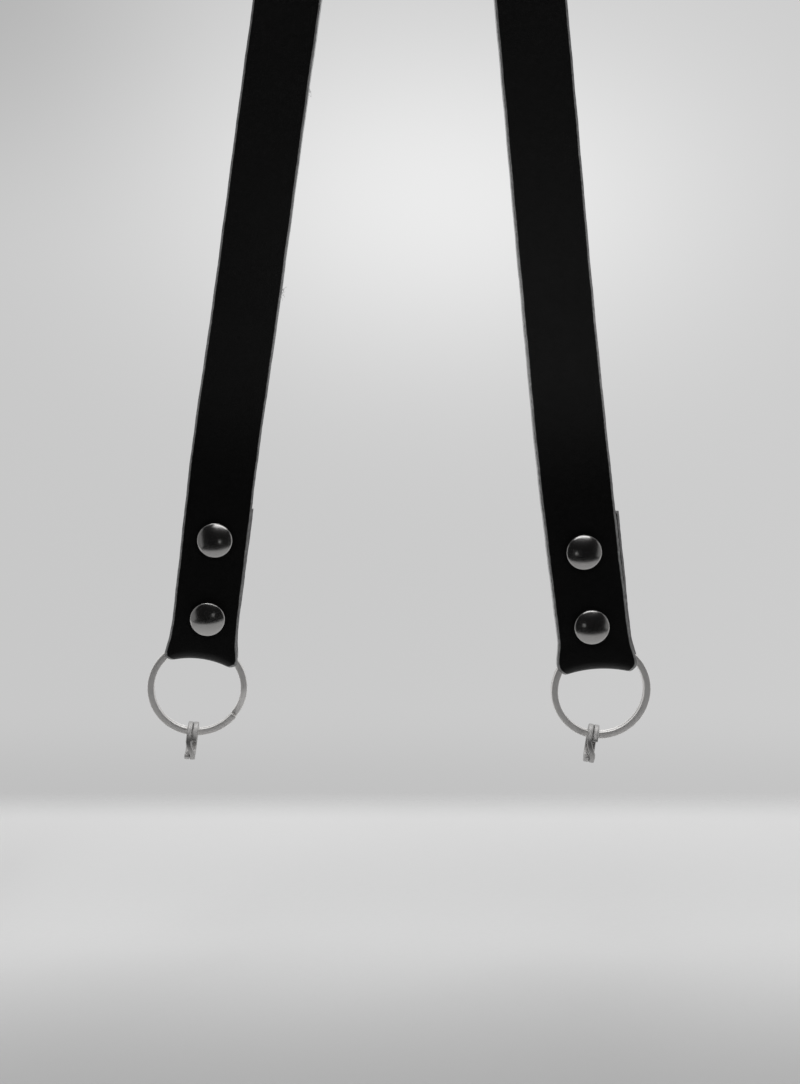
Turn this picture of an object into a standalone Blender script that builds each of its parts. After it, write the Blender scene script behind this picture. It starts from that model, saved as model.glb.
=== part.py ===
"""A leather camera neck strap that hangs over a support by the middle of its length.

The strap is one flat band. Each end is folded back round a big split ring and held by two
double-cap rivets, and each big ring carries a small split ring for the thing that is carried.

Whole strap: metres, +Z up, with the origin where the flesh side of the band rests on its
support, which runs along Y. The viewer stands at -Y, and +X is to the right.
Each end has axes of its own: the origin is the big ring's centre, z runs up the strap, x runs
across it to the right, and y points out of its back.
"""

import math
from collections import namedtuple

import bmesh
import bpy
import numpy as np
from mathutils import Matrix, Vector

# The band
STRAP_WIDTH = 0.0180
STRAP_THICKNESS = 0.0020
FOLD_THICKNESS = 0.00135
EDGE_ROUNDING = 0.00045
LOOP_DROP = 0.4690
SEAT_RADIUS = 0.0100
END_REACH = 0.0535
END_DEPTH = 0.0075
END_PITCH = math.radians(8.5)
TAB_MARGIN = 0.0090
END_MARGIN = 0.0040

# The split rings
RING_DIAMETER = 0.0262
RING_WIRE = 0.00175
RING_COIL = 0.00095
LINK_DIAMETER = 0.0101
LINK_WIRE = 0.0011
LINK_COIL = 0.00135
COIL_GAP = 0.0001
WIRE_CHAMFER = 0.00025

# The rivets
CAP_DIAMETER = 0.0091
CAP_HEIGHT = 0.0016
CAP_RIM = 0.00045
POST_DIAMETER = 0.0018
SHANK_DIAMETER = 0.0032
SHANK_WALL = 0.0004
LOWER_RIVET_RISE = 0.0188
RIVET_SPACING = 0.0203

# The spaces between pieces
CLEARANCE = 0.0003
RING_SLACK = 0.0004

# How finely the shapes are cut
COLUMNS = 6
LAYER_ROWS = 10
FOLD_ROWS = 10
ARM_ROWS = 18
SEAT_ROWS = 10
COIL_STEPS = 36
LINK_STEPS = 26
TURNED_STEPS = 20
DOME_RINGS = 4

RING_RADIUS = RING_DIAMETER / 2
RING_DEPTH = 2 * RING_COIL + COIL_GAP
LAYER_GAP = RING_DEPTH / 2 + RING_SLACK
HOLE_DIAMETER = SHANK_DIAMETER + 2 * CLEARANCE
SEAT_LINE = SEAT_RADIUS + STRAP_THICKNESS / 2

# hand is -1 on the left. reach, depth, rise and spacing are shares of END_REACH, END_DEPTH,
# LOWER_RIVET_RISE and RIVET_SPACING. breadth and the four shifts are shares of STRAP_WIDTH, and
# pinch and flare are shares of the end's own width. bottom, sag and corner are shares of
# RING_RADIUS. lean, face, slide, link_yaw and the two jogs are angles in degrees, and tilt is a
# slope.
Side = namedtuple(
    "Side",
    "name hand reach depth lean face breadth shift fold_shift tab_shift rise spacing rivet_shift "
    "bottom sag tilt pinch flare corner ring_jog slide link_yaw link_jog",
)
SIDES = (
    Side(
        name="left", hand=-1, reach=1.132, depth=1.27, lean=8.1, face=9.0,
        breadth=0.947, shift=0.005, fold_shift=0.0, tab_shift=0.025,
        rise=1.050, spacing=1.032, rivet_shift=0.026,
        bottom=0.618, sag=0.092, tilt=-0.04, pinch=0.85, flare=1.10, corner=0.62,
        ring_jog=-12.0, slide=0.0, link_yaw=0.0, link_jog=-80.0,
    ),
    Side(
        name="right", hand=1, reach=0.869, depth=0.73, lean=-8.1, face=0.0,
        breadth=1.03, shift=-0.035, fold_shift=0.058, tab_shift=0.070,
        rise=0.957, spacing=0.966, rivet_shift=-0.017,
        bottom=0.450, sag=0.084, tilt=-0.09, pinch=0.89, flare=1.075, corner=0.50,
        ring_jog=100.0, slide=16.0, link_yaw=-12.0, link_jog=-86.0,
    ),
)

# Where each arm runs between its end and the support. fall is a share of LOOP_DROP, spread is
# the share of the way out from the support to the ring's centre line, depth is a share of
# END_DEPTH, turn is a share of a quarter turn, and breadth is a share of STRAP_WIDTH.
Station = namedtuple("Station", "fall spread depth turn breadth")
ARMS = {
    "left": (
        Station(fall=0.784, spread=0.708, depth=0.10, turn=-0.06, breadth=0.951),
        Station(fall=0.673, spread=0.569, depth=0.15, turn=-0.02, breadth=0.963),
        Station(fall=0.565, spread=0.424, depth=0.00, turn=0.03, breadth=0.980),
        Station(fall=0.458, spread=0.298, depth=-0.20, turn=0.18, breadth=0.985),
        Station(fall=0.352, spread=0.181, depth=-0.30, turn=0.43, breadth=0.985),
        Station(fall=0.245, spread=0.085, depth=-0.20, turn=0.71, breadth=0.980),
        Station(fall=0.139, spread=0.022, depth=-0.05, turn=0.93, breadth=0.980),
        Station(fall=0.064, spread=0.002, depth=0.00, turn=1.00, breadth=0.980),
    ),
    "right": (
        Station(fall=0.784, spread=0.648, depth=-0.15, turn=0.00, breadth=1.025),
        Station(fall=0.673, spread=0.531, depth=0.20, turn=0.00, breadth=1.038),
        Station(fall=0.565, spread=0.403, depth=0.20, turn=0.03, breadth=1.042),
        Station(fall=0.458, spread=0.279, depth=0.00, turn=0.18, breadth=1.020),
        Station(fall=0.352, spread=0.175, depth=-0.20, turn=0.43, breadth=1.010),
        Station(fall=0.245, spread=0.090, depth=-0.20, turn=0.71, breadth=1.000),
        Station(fall=0.139, spread=0.028, depth=-0.05, turn=0.93, breadth=0.990),
        Station(fall=0.064, spread=0.003, depth=0.00, turn=1.00, breadth=0.980),
    ),
}
SEAT_BREADTH = 0.98

# The two layers of an end, above the ring. rise is a share of RING_RADIUS, open is the share of
# the ring's own spacing that is left between the layers, and skive is a share of the way from
# the fold's thickness to the band's.
Layer = namedtuple("Layer", "rise open skive")
LAYERS = (
    Layer(rise=1.02, open=1.00, skive=0.00),
    Layer(rise=1.42, open=0.55, skive=0.90),
    Layer(rise=1.90, open=0.32, skive=1.00),
    Layer(rise=2.40, open=0.08, skive=1.00),
    Layer(rise=2.70, open=0.00, skive=1.00),
)
FLARE_FADES_AT = 1.60
TILT_FADES_AT = 1.60
CORNER_SHAPE = 2.5
PINCH_SHAPE = 0.85


def clear_scene():
    for item in list(bpy.data.objects):
        bpy.data.objects.remove(item, do_unlink=True)


def new_collection(name, hidden=False):
    collection = bpy.data.collections.new(name)
    collection.hide_render = hidden
    bpy.context.scene.collection.children.link(collection)
    return collection


def new_material(name, colour, roughness, metallic):
    material = bpy.data.materials.new(name)
    material.use_nodes = True
    shader = material.node_tree.nodes["Principled BSDF"]
    shader.inputs["Base Color"].default_value = (*colour, 1.0)
    shader.inputs["Roughness"].default_value = roughness
    shader.inputs["Metallic"].default_value = metallic
    return material


def mesh_object(name, mesh, material, collection):
    item = bpy.data.objects.new(name, mesh)
    if material is not None:
        mesh.materials.append(material)
    collection.objects.link(item)
    return item


def end_matrix(side):
    """The axes of one end in the whole strap's frame."""
    turned = (
        Matrix.Rotation(math.radians(side.lean), 4, "Y")
        @ Matrix.Rotation(END_PITCH, 4, "X")
        @ Matrix.Rotation(math.radians(side.face), 4, "Z")
    )
    centre = Vector((side.hand * side.reach * END_REACH, side.depth * END_DEPTH, -LOOP_DROP))
    return Matrix.Translation(centre) @ turned


def layer_at(height):
    """Half the gap between an end's two layers, and their thickness, at a height above the ring."""
    rises = [row.rise * RING_RADIUS for row in LAYERS]
    open_share = np.interp(height, rises, [row.open for row in LAYERS])
    skive_share = np.interp(height, rises, [row.skive for row in LAYERS])
    half_gap = CLEARANCE / 2 + open_share * (LAYER_GAP - CLEARANCE / 2)
    thickness = FOLD_THICKNESS + skive_share * (STRAP_THICKNESS - FOLD_THICKNESS)
    return float(half_gap), float(thickness)


def rivet_heights(side):
    lower = side.rise * LOWER_RIVET_RISE
    return {"lower": lower, "upper": lower + side.spacing * RIVET_SPACING}


def tab_end(side):
    return rivet_heights(side)["upper"] + TAB_MARGIN


def fade(value, start, end):
    """1 at start, easing to 0 at end."""
    share = min(max((value - start) / (end - start), 0.0), 1.0)
    return (1.0 - share) ** 2


def layer_row(side, height, face):
    """One row across the front layer (face 1) or the back layer (face -1) of an end."""
    half_gap, thickness = layer_at(height)
    flare = 1.0 + (side.flare - 1.0) * fade(height, side.corner * RING_RADIUS, FLARE_FADES_AT * RING_RADIUS)
    half_width = side.breadth * STRAP_WIDTH / 2 * flare
    centre = side.shift * STRAP_WIDTH
    if face < 0:
        shifted = side.fold_shift + (side.tab_shift - side.fold_shift) * height / tab_end(side)
        centre += shifted * STRAP_WIDTH
    lift = side.tilt * fade(height, RING_RADIUS, TILT_FADES_AT * RING_RADIUS)
    row = []
    for share in np.linspace(-1.0, 1.0, COLUMNS + 1):
        across = share * half_width
        point = Vector((centre + across, -face * (half_gap + thickness / 2), height + lift * across))
        row.append((point, thickness / STRAP_THICKNESS))
    return row


def fold_row(side, angle):
    """One row across the fold under the ring. angle runs from 90 at the front to -90 at the back."""
    swing = math.radians(angle)
    deep = LAYER_GAP + FOLD_THICKNESS / 2
    half_width = side.breadth * STRAP_WIDTH / 2
    pinched = side.pinch * half_width
    across_share = (1.0 - math.cos(swing)) ** PINCH_SHAPE
    half_row = pinched + (side.flare * half_width - pinched) * across_share
    centre = (side.shift + side.fold_shift * (1.0 - math.sin(swing)) / 2) * STRAP_WIDTH
    row = []
    for share in np.linspace(-1.0, 1.0, COLUMNS + 1):
        across = share * half_row
        lowest = (side.bottom - side.sag * share**2) * RING_RADIUS + FOLD_THICKNESS / 2
        middle_start = side.bottom * RING_RADIUS + FOLD_THICKNESS / 2 + deep
        start = middle_start - (middle_start - side.corner * RING_RADIUS) * abs(share) ** CORNER_SHAPE
        height = start - (start - lowest) * math.cos(swing) + side.tilt * across
        point = Vector((centre + across, -deep * math.sin(swing), height))
        row.append((point, FOLD_THICKNESS / STRAP_THICKNESS))
    return row


def end_rows(side):
    """The rows of one end in its own axes, from the tab's edge, round the fold and up the front."""
    top = tab_end(side)
    heights = np.linspace(top, LAYERS[0].rise * RING_RADIUS, LAYER_ROWS)
    back = [layer_row(side, height, -1) for height in heights]
    fold = [fold_row(side, angle) for angle in np.linspace(-90.0, 90.0, FOLD_ROWS + 1)]
    front = [layer_row(side, height, 1) for height in reversed(heights)]
    return back + fold + front + [layer_row(side, top + END_MARGIN, 1)]


def smooth_through(knots, values, first_slope, last_slope, where):
    """A cubic curve through values at knots, with the slopes given at both ends."""
    knots = np.asarray(knots, float)
    values = np.asarray(values, float)
    steps = np.diff(knots)[:, None]
    chords = np.diff(values, axis=0) / steps
    slopes = np.empty_like(values)
    slopes[1:-1] = (chords[:-1] * steps[1:] + chords[1:] * steps[:-1]) / (steps[:-1] + steps[1:])
    slopes[0] = first_slope
    slopes[-1] = last_slope
    found = []
    for place in where:
        i = int(np.clip(np.searchsorted(knots, place, side="right") - 1, 0, len(knots) - 2))
        step = knots[i + 1] - knots[i]
        t = (place - knots[i]) / step
        found.append(
            (2 * t**3 - 3 * t**2 + 1) * values[i]
            + (t**3 - 2 * t**2 + t) * step * slopes[i]
            + (3 * t**2 - 2 * t**3) * values[i + 1]
            + (t**3 - t**2) * step * slopes[i + 1]
        )
    return np.array(found)


def band_row(centre, along, turn, breadth):
    """One row across a single layer. turn is the angle of its grain side from straight forward."""
    grain = Vector((0.0, -1.0, 0.0))
    grain = (grain - grain.dot(along) * along).normalized()
    grain.rotate(Matrix.Rotation(turn, 3, along))
    across = along.cross(grain)
    half_width = breadth * STRAP_WIDTH / 2
    return [(centre + across * half_width * share, 1.0) for share in np.linspace(-1.0, 1.0, COLUMNS + 1)]


def arm_rows(side, to_world, last_row):
    """The rows of one arm, from just above its end up to the support."""
    quarter = side.hand * math.pi / 2
    stations = ARMS[side.name]
    foot = sum((to_world @ point for point, _ in last_row), Vector()) / len(last_row)
    up = (to_world.to_3x3() @ Vector((0.0, 0.0, 1.0))).normalized()
    spread_range = side.reach * END_REACH - SEAT_LINE
    places = [tuple(foot)]
    for station in stations:
        sideways = side.hand * (SEAT_LINE + station.spread * spread_range)
        places.append((sideways, station.depth * END_DEPTH, -station.fall * LOOP_DROP))
    places.append((side.hand * SEAT_LINE, 0.0, -SEAT_RADIUS))
    places = np.array(places)
    knots = np.concatenate([[0.0], np.cumsum(np.linalg.norm(np.diff(places, axis=0), axis=1))])
    turns = [math.radians(side.face) / quarter] + [station.turn for station in stations] + [1.0]
    breadths = [side.breadth] + [station.breadth for station in stations] + [SEAT_BREADTH]
    extras = np.column_stack([turns, breadths])
    where = np.linspace(0.0, knots[-1], ARM_ROWS + 1)[1:-1]
    centres = smooth_through(knots, places, tuple(up), (0.0, 0.0, 1.0), where)
    shapes = smooth_through(knots, extras, (0.0, 0.0), (0.0, 0.0), where)
    path = np.vstack([places[0], centres, places[-1]])
    rows = []
    for i, (turn, breadth) in enumerate(shapes, start=1):
        along = Vector(path[i + 1] - path[i - 1]).normalized()
        rows.append(band_row(Vector(path[i]), along, turn * quarter, breadth))
    return rows


def seat_rows():
    """The rows of the half circle over the support, from the left arm to the right one."""
    rows = []
    for angle in np.linspace(math.pi, 0.0, SEAT_ROWS + 1):
        outward = Vector((math.cos(angle), 0.0, math.sin(angle)))
        centre = outward * SEAT_LINE + Vector((0.0, 0.0, -SEAT_RADIUS))
        half_width = SEAT_BREADTH * STRAP_WIDTH / 2
        shares = np.linspace(-1.0, 1.0, COLUMNS + 1)
        rows.append([(centre - Vector((0.0, share * half_width, 0.0)), 1.0) for share in shares])
    return rows


def side_rows(side):
    """The rows of one side, from its tab's edge to just below the support."""
    to_world = end_matrix(side)
    rows = end_rows(side)
    arm = arm_rows(side, to_world, rows[-1])
    return [[(to_world @ point, share) for point, share in row] for row in rows] + arm


def strap_band(material, collection, cutters):
    """The whole band: a grid along the strap, thickened, with rounded edges and rivet holes."""
    left, right = (side_rows(side) for side in SIDES)
    rows = left + seat_rows() + [list(reversed(row)) for row in reversed(right)]
    grid = bmesh.new()
    bmesh.ops.create_grid(grid, x_segments=COLUMNS, y_segments=len(rows) - 1, size=1.0)
    thickness = grid.verts.layers.deform.verify()
    for vertex in grid.verts:
        column = round((vertex.co.x + 1.0) / 2 * COLUMNS)
        row = round((vertex.co.y + 1.0) / 2 * (len(rows) - 1))
        place, share = rows[row][column]
        vertex.co = place
        vertex[thickness][0] = share
    mesh = bpy.data.meshes.new("strap_band")
    grid.to_mesh(mesh)
    grid.free()
    band = mesh_object("strap_band", mesh, material, collection)
    band.vertex_groups.new(name="thickness")
    wall = band.modifiers.new("wall", "SOLIDIFY")
    wall.thickness = STRAP_THICKNESS
    wall.offset = 0.0
    wall.use_even_offset = True
    wall.vertex_group = "thickness"
    edges = band.modifiers.new("edges", "BEVEL")
    edges.width = EDGE_ROUNDING
    edges.segments = 2
    edges.limit_method = "ANGLE"
    edges.angle_limit = math.radians(60)
    for cutter in cutters:
        hole = band.modifiers.new(cutter.name, "BOOLEAN")
        hole.operation = "DIFFERENCE"
        hole.solver = "EXACT"
        hole.object = cutter
    mesh.shade_smooth()
    return band


def split_ring(name, diameter, wire, coil, jog_steps, steps, material, collection):
    """A split ring round z: two flat coils of one wire, which crosses over at angle 0."""
    middle = (diameter - wire) / 2
    half_step = (coil + COIL_GAP) / 2
    cut = WIRE_CHAMFER
    half_wire, half_coil = wire / 2, coil / 2
    section = (
        (half_wire, half_coil - cut), (half_wire - cut, half_coil),
        (cut - half_wire, half_coil), (-half_wire, half_coil - cut),
        (-half_wire, cut - half_coil), (cut - half_wire, -half_coil),
        (half_wire - cut, -half_coil), (half_wire, cut - half_coil),
    )
    loft = bmesh.new()
    loops = []
    for step in range(jog_steps, 2 * steps - jog_steps + 1):
        angle = 2 * math.pi * step / steps
        across = min(max((step - steps) / jog_steps, -1.0), 1.0)
        level = half_step * math.sin(across * math.pi / 2)
        loops.append([
            loft.verts.new((
                (middle + out) * math.cos(angle), (middle + out) * math.sin(angle), level + up,
            ))
            for out, up in section
        ])
    for before, after in zip(loops, loops[1:]):
        for i in range(len(section)):
            j = (i + 1) % len(section)
            loft.faces.new((before[i], after[i], after[j], before[j]))
    loft.faces.new(loops[0])
    loft.faces.new(list(reversed(loops[-1])))
    bmesh.ops.recalc_face_normals(loft, faces=loft.faces)
    mesh = bpy.data.meshes.new(name)
    loft.to_mesh(mesh)
    loft.free()
    mesh.shade_smooth()
    mesh.set_sharp_from_angle(angle=math.radians(35))
    return mesh_object(name, mesh, material, collection)


def turned(name, profile, material, collection):
    """A piece turned round z from a profile that runs down its outer side."""
    mesh = bpy.data.meshes.new(name)
    points = [(radius, 0.0, height) for radius, height in profile]
    mesh.from_pydata(points, [(i, i + 1) for i in range(len(points) - 1)], [])
    item = mesh_object(name, mesh, material, collection)
    screw = item.modifiers.new("turned", "SCREW")
    screw.steps = TURNED_STEPS
    screw.render_steps = TURNED_STEPS
    screw.use_merge_vertices = True
    screw.merge_threshold = 0.00001
    screw.use_smooth_shade = True
    return item


def cap_profile():
    """The outside of a domed cap, from the top of its dome to the edge of its underside."""
    radius = CAP_DIAMETER / 2
    points = []
    for i in range(DOME_RINGS):
        angle = math.pi / 2 * i / DOME_RINGS
        points.append((radius * math.sin(angle), CAP_RIM + (CAP_HEIGHT - CAP_RIM) * math.cos(angle)))
    return points + [(radius, CAP_RIM), (radius - CAP_RIM / 3, 0.0)]


def rivet(side, level, height, axes, materials, collection, cutter_collection):
    """One double-cap rivet: a front cap with its post, and a back cap with its hollow shank."""
    cap_radius = CAP_DIAMETER / 2
    under_cap = np.linspace(height - cap_radius, height + cap_radius, 9)
    proud = max(sum(layer_at(place)) for place in under_cap) + CLEARANCE
    grip = 2 * proud
    shank_length = grip - CLEARANCE
    bore = SHANK_DIAMETER / 2 - SHANK_WALL
    post_end = -(grip - CLEARANCE)
    front = cap_profile() + [(POST_DIAMETER / 2, 0.0), (POST_DIAMETER / 2, post_end), (0.0, post_end)]
    back = cap_profile() + [
        (SHANK_DIAMETER / 2, 0.0), (SHANK_DIAMETER / 2, -shank_length),
        (bore, -shank_length), (bore, 0.0), (0.0, 0.0),
    ]
    across = (side.shift + (side.rivet_shift if level == "lower" else 0.0)) * STRAP_WIDTH
    pieces = (("rivet_cap", front, -1), ("rivet_back", back, 1))
    for kind, profile, facing in pieces:
        piece = turned(f"{kind}_{side.name}_{level}", profile, materials[kind], collection)
        piece.parent = axes
        piece.location = (across, facing * proud, height)
        piece.rotation_euler = (-facing * math.pi / 2, 0.0, 0.0)
    bpy.ops.mesh.primitive_cylinder_add(
        vertices=TURNED_STEPS, radius=HOLE_DIAMETER / 2, depth=grip + 4 * STRAP_THICKNESS
    )
    cutter = bpy.context.object
    cutter.name = f"hole_{side.name}_{level}"
    for owner in list(cutter.users_collection):
        owner.objects.unlink(cutter)
    cutter_collection.objects.link(cutter)
    cutter.parent = axes
    cutter.location = (across, 0.0, height)
    cutter.rotation_euler = (math.pi / 2, 0.0, 0.0)
    cutter.hide_render = True
    cutter.display_type = "WIRE"
    return cutter


def place_rings(side, axes, materials, collection):
    """The big ring in the fold, and the small ring that hangs on it."""
    ring = split_ring(
        f"big_ring_{side.name}", RING_DIAMETER, RING_WIRE, RING_COIL, 2, COIL_STEPS,
        materials["big_ring"], collection,
    )
    ring.parent = axes
    ring.rotation_euler = (math.pi / 2, math.radians(-side.ring_jog), 0.0)
    link = split_ring(
        f"small_ring_{side.name}", LINK_DIAMETER, LINK_WIRE, LINK_COIL, 2, LINK_STEPS,
        materials["small_ring"], collection,
    )
    yaw = math.radians(side.link_yaw)
    hole = LINK_DIAMETER / 2 - LINK_WIRE - CLEARANCE
    passing = RING_DEPTH / 2 + (LINK_COIL + COIL_GAP / 2) * math.tan(abs(yaw))
    hang = math.sqrt(hole**2 - passing**2)
    link.parent = axes
    link.matrix_local = (
        Matrix.Rotation(math.radians(side.slide), 4, "Y")
        @ Matrix.Translation((0.0, 0.0, -(RING_RADIUS - RING_WIRE + hang)))
        @ Matrix.Rotation(yaw, 4, "Z")
        @ Matrix.Rotation(math.pi / 2, 4, "Y")
        @ Matrix.Rotation(math.radians(side.link_jog), 4, "Z")
    )


def main():
    clear_scene()
    collection = new_collection("camera_neck_strap")
    cutter_collection = new_collection("rivet_holes", hidden=True)
    leather = new_material("black_leather", (0.012, 0.012, 0.012), 0.45, 0.0)
    cutters = []
    for side in SIDES:
        axes = bpy.data.objects.new(f"end_{side.name}", None)
        collection.objects.link(axes)
        axes.matrix_world = end_matrix(side)
        metals = {
            "rivet_cap": new_material(f"nickel_caps_{side.name}", (0.56, 0.55, 0.53), 0.18, 1.0),
            "rivet_back": new_material(f"nickel_backs_{side.name}", (0.52, 0.51, 0.49), 0.24, 1.0),
            "big_ring": new_material(f"big_ring_steel_{side.name}", (0.50, 0.50, 0.50), 0.28, 1.0),
            "small_ring": new_material(f"small_ring_steel_{side.name}", (0.46, 0.46, 0.46), 0.32, 1.0),
        }
        place_rings(side, axes, metals, collection)
        for level, height in rivet_heights(side).items():
            cutters.append(rivet(side, level, height, axes, metals, collection, cutter_collection))
    bpy.context.view_layer.update()
    strap_band(leather, collection, cutters)


main()
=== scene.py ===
"""A black leather camera neck strap, dressed and lit.

Metres, +Z up. The strap hangs over a support that runs along Y, with the origin where its flesh
side rests. The viewer stands at -Y and +X is to the right. The band and the wire of the rings
are modelled straight and flat, as their maker has them, and are then laid along their routes.
"""

import logging
import math
from dataclasses import dataclass
from enum import Enum
from typing import Any, Callable, Dict, List, Optional, Sequence, Tuple, Union

import bpy
import numpy as np
from mathutils import Matrix, Vector

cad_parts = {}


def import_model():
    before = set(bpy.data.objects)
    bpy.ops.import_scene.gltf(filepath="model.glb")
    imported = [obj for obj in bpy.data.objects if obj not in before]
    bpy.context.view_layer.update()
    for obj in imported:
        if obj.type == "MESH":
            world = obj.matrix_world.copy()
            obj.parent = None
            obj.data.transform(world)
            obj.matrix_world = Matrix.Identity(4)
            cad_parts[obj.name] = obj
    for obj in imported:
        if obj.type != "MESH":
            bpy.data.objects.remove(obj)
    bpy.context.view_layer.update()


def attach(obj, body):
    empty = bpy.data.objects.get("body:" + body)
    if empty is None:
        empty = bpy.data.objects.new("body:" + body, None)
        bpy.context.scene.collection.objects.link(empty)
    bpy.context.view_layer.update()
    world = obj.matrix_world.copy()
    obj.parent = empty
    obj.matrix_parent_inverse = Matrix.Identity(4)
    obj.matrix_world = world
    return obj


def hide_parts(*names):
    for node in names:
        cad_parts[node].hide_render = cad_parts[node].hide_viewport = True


LOG = logging.getLogger("neck_strap")
ROOT = "root"

Piece = bpy.types.Object
Material = bpy.types.Material
Row = Tuple[np.ndarray, float, float]
Values = Optional[Dict[Any, Any]]
Places = List[Tuple[float, float]]
Number = Union["Signal", float, int]
EASING = {"interpolation_type": "SMOOTHSTEP", "clamp": True}
MIXING = {"data_type": "RGBA", "clamp_factor": True}


class Hand(Enum):
    """The two ends of the strap, as the viewer sees them."""

    LEFT = "left"
    RIGHT = "right"

    @property
    def sign(self) -> int:
        """-1 on the left and 1 on the right."""
        return -1 if self is Hand.LEFT else 1


class Level(Enum):
    """The two rivets of an end."""

    LOWER = "lower"
    UPPER = "upper"


class Slot(Enum):
    """The record's material slots."""

    LEATHER = "black_leather"
    NICKEL = "nickel"
    STEEL = "ring_steel"


@dataclass(frozen=True)
class EndForm:
    """How one end hangs. The shares and angles are those of the construction.

    reach, depth, rise and spacing are shares of the strap's named sizes. breadth and the four
    shifts are shares of its width, and pinch and flare of the end's own width. bottom, sag and
    corner are shares of the big ring's radius. Angles are in degrees, and tilt is a slope.
    """

    hand: Hand
    reach: float
    depth: float
    lean: float
    face: float
    breadth: float
    shift: float
    fold_shift: float
    tab_shift: float
    rise: float
    spacing: float
    rivet_shift: float
    bottom: float
    sag: float
    tilt: float
    pinch: float
    flare: float
    corner: float
    ring_jog: float
    slide: float
    link_yaw: float
    link_jog: float


@dataclass(frozen=True)
class Station:
    """One place on an arm: shares of the drop, of the way out, of the depth and of a quarter turn."""

    fall: float
    spread: float
    depth: float
    turn: float
    breadth: float


@dataclass(frozen=True)
class Layer:
    """How the two layers of an end close above the ring."""

    rise: float
    open: float
    skive: float


LEFT_END = EndForm(
    hand=Hand.LEFT, reach=1.132, depth=1.27, lean=8.1, face=9.0,
    breadth=0.947, shift=0.005, fold_shift=0.0, tab_shift=0.025,
    rise=1.050, spacing=1.032, rivet_shift=0.026,
    bottom=0.618, sag=0.092, tilt=-0.04, pinch=0.85, flare=1.10, corner=0.62,
    ring_jog=-12.0, slide=0.0, link_yaw=0.0, link_jog=-80.0,
)
RIGHT_END = EndForm(
    hand=Hand.RIGHT, reach=0.869, depth=0.73, lean=-8.1, face=0.0,
    breadth=1.03, shift=-0.035, fold_shift=0.058, tab_shift=0.070,
    rise=0.957, spacing=0.966, rivet_shift=-0.017,
    bottom=0.450, sag=0.084, tilt=-0.09, pinch=0.89, flare=1.075, corner=0.50,
    ring_jog=100.0, slide=16.0, link_yaw=-12.0, link_jog=-86.0,
)
LEFT_ARM = (
    Station(fall=0.784, spread=0.708, depth=0.10, turn=-0.06, breadth=0.951),
    Station(fall=0.673, spread=0.569, depth=0.15, turn=-0.02, breadth=0.963),
    Station(fall=0.565, spread=0.424, depth=0.00, turn=0.03, breadth=0.980),
    Station(fall=0.458, spread=0.298, depth=-0.20, turn=0.18, breadth=0.985),
    Station(fall=0.352, spread=0.181, depth=-0.30, turn=0.43, breadth=0.985),
    Station(fall=0.245, spread=0.085, depth=-0.20, turn=0.71, breadth=0.980),
    Station(fall=0.139, spread=0.022, depth=-0.05, turn=0.93, breadth=0.980),
    Station(fall=0.064, spread=0.002, depth=0.00, turn=1.00, breadth=0.980),
)
RIGHT_ARM = (
    Station(fall=0.784, spread=0.648, depth=-0.15, turn=0.00, breadth=1.025),
    Station(fall=0.673, spread=0.531, depth=0.20, turn=0.00, breadth=1.038),
    Station(fall=0.565, spread=0.403, depth=0.20, turn=0.03, breadth=1.042),
    Station(fall=0.458, spread=0.279, depth=0.00, turn=0.18, breadth=1.020),
    Station(fall=0.352, spread=0.175, depth=-0.20, turn=0.43, breadth=1.010),
    Station(fall=0.245, spread=0.090, depth=-0.20, turn=0.71, breadth=1.000),
    Station(fall=0.139, spread=0.028, depth=-0.05, turn=0.93, breadth=0.990),
    Station(fall=0.064, spread=0.003, depth=0.00, turn=1.00, breadth=0.980),
)
LAYERS = (
    Layer(rise=1.02, open=1.00, skive=0.00),
    Layer(rise=1.42, open=0.55, skive=0.90),
    Layer(rise=1.90, open=0.32, skive=1.00),
    Layer(rise=2.40, open=0.08, skive=1.00),
    Layer(rise=2.70, open=0.00, skive=1.00),
)


@dataclass(frozen=True)
class RingSizes:
    """The wire of one split ring and the circle that it makes."""

    diameter: float
    wire: float
    coil: float
    rounding: float
    gap: float = 0.0001
    jog_share: float = 2 / 36

    @property
    def radius(self) -> float:
        """The ring's outer radius."""
        return self.diameter / 2

    @property
    def depth(self) -> float:
        """Both coils together, along the ring's axis."""
        return 2 * self.coil + self.gap


@dataclass(frozen=True)
class StrapSizes:
    """The sizes that the strap is built from."""

    width: float = 0.0180
    thickness: float = 0.0020
    fold_thickness: float = 0.00135
    edge_rounding: float = 0.00045
    drop: float = 0.4690
    seat_radius: float = 0.0100
    reach: float = 0.0535
    depth: float = 0.0075
    pitch: float = 8.5
    tab_margin: float = 0.0090
    end_margin: float = 0.0040
    rivet_rise: float = 0.0188
    rivet_spacing: float = 0.0203
    clearance: float = 0.0003
    ring_slack: float = 0.0004
    flare_fades_at: float = 1.60
    tilt_fades_at: float = 1.60
    corner_shape: float = 2.5
    pinch_shape: float = 0.85
    seat_breadth: float = 0.98
    big_ring: RingSizes = RingSizes(diameter=0.0262, wire=0.00175, coil=0.00095, rounding=0.00024)
    small_ring: RingSizes = RingSizes(
        diameter=0.0101, wire=0.0011, coil=0.00135, rounding=0.00030, jog_share=2 / 26
    )

    @property
    def layer_gap(self) -> float:
        """Half the room that the big ring has between the two layers."""
        return self.big_ring.depth / 2 + self.ring_slack

    @property
    def seat_line(self) -> float:
        """The radius of the band's middle line over the support."""
        return self.seat_radius + self.thickness / 2


SIZES = StrapSizes()


def turned(degrees: float, axis: str) -> Matrix:
    """A turn about an axis."""
    return Matrix.Rotation(math.radians(degrees), 4, axis)


def placed(points: np.ndarray, place: Matrix) -> np.ndarray:
    """Points, one a row, taken from a place's own axes to the world's."""
    return points @ np.array(place.to_3x3()).T + np.array(place.translation)


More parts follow.
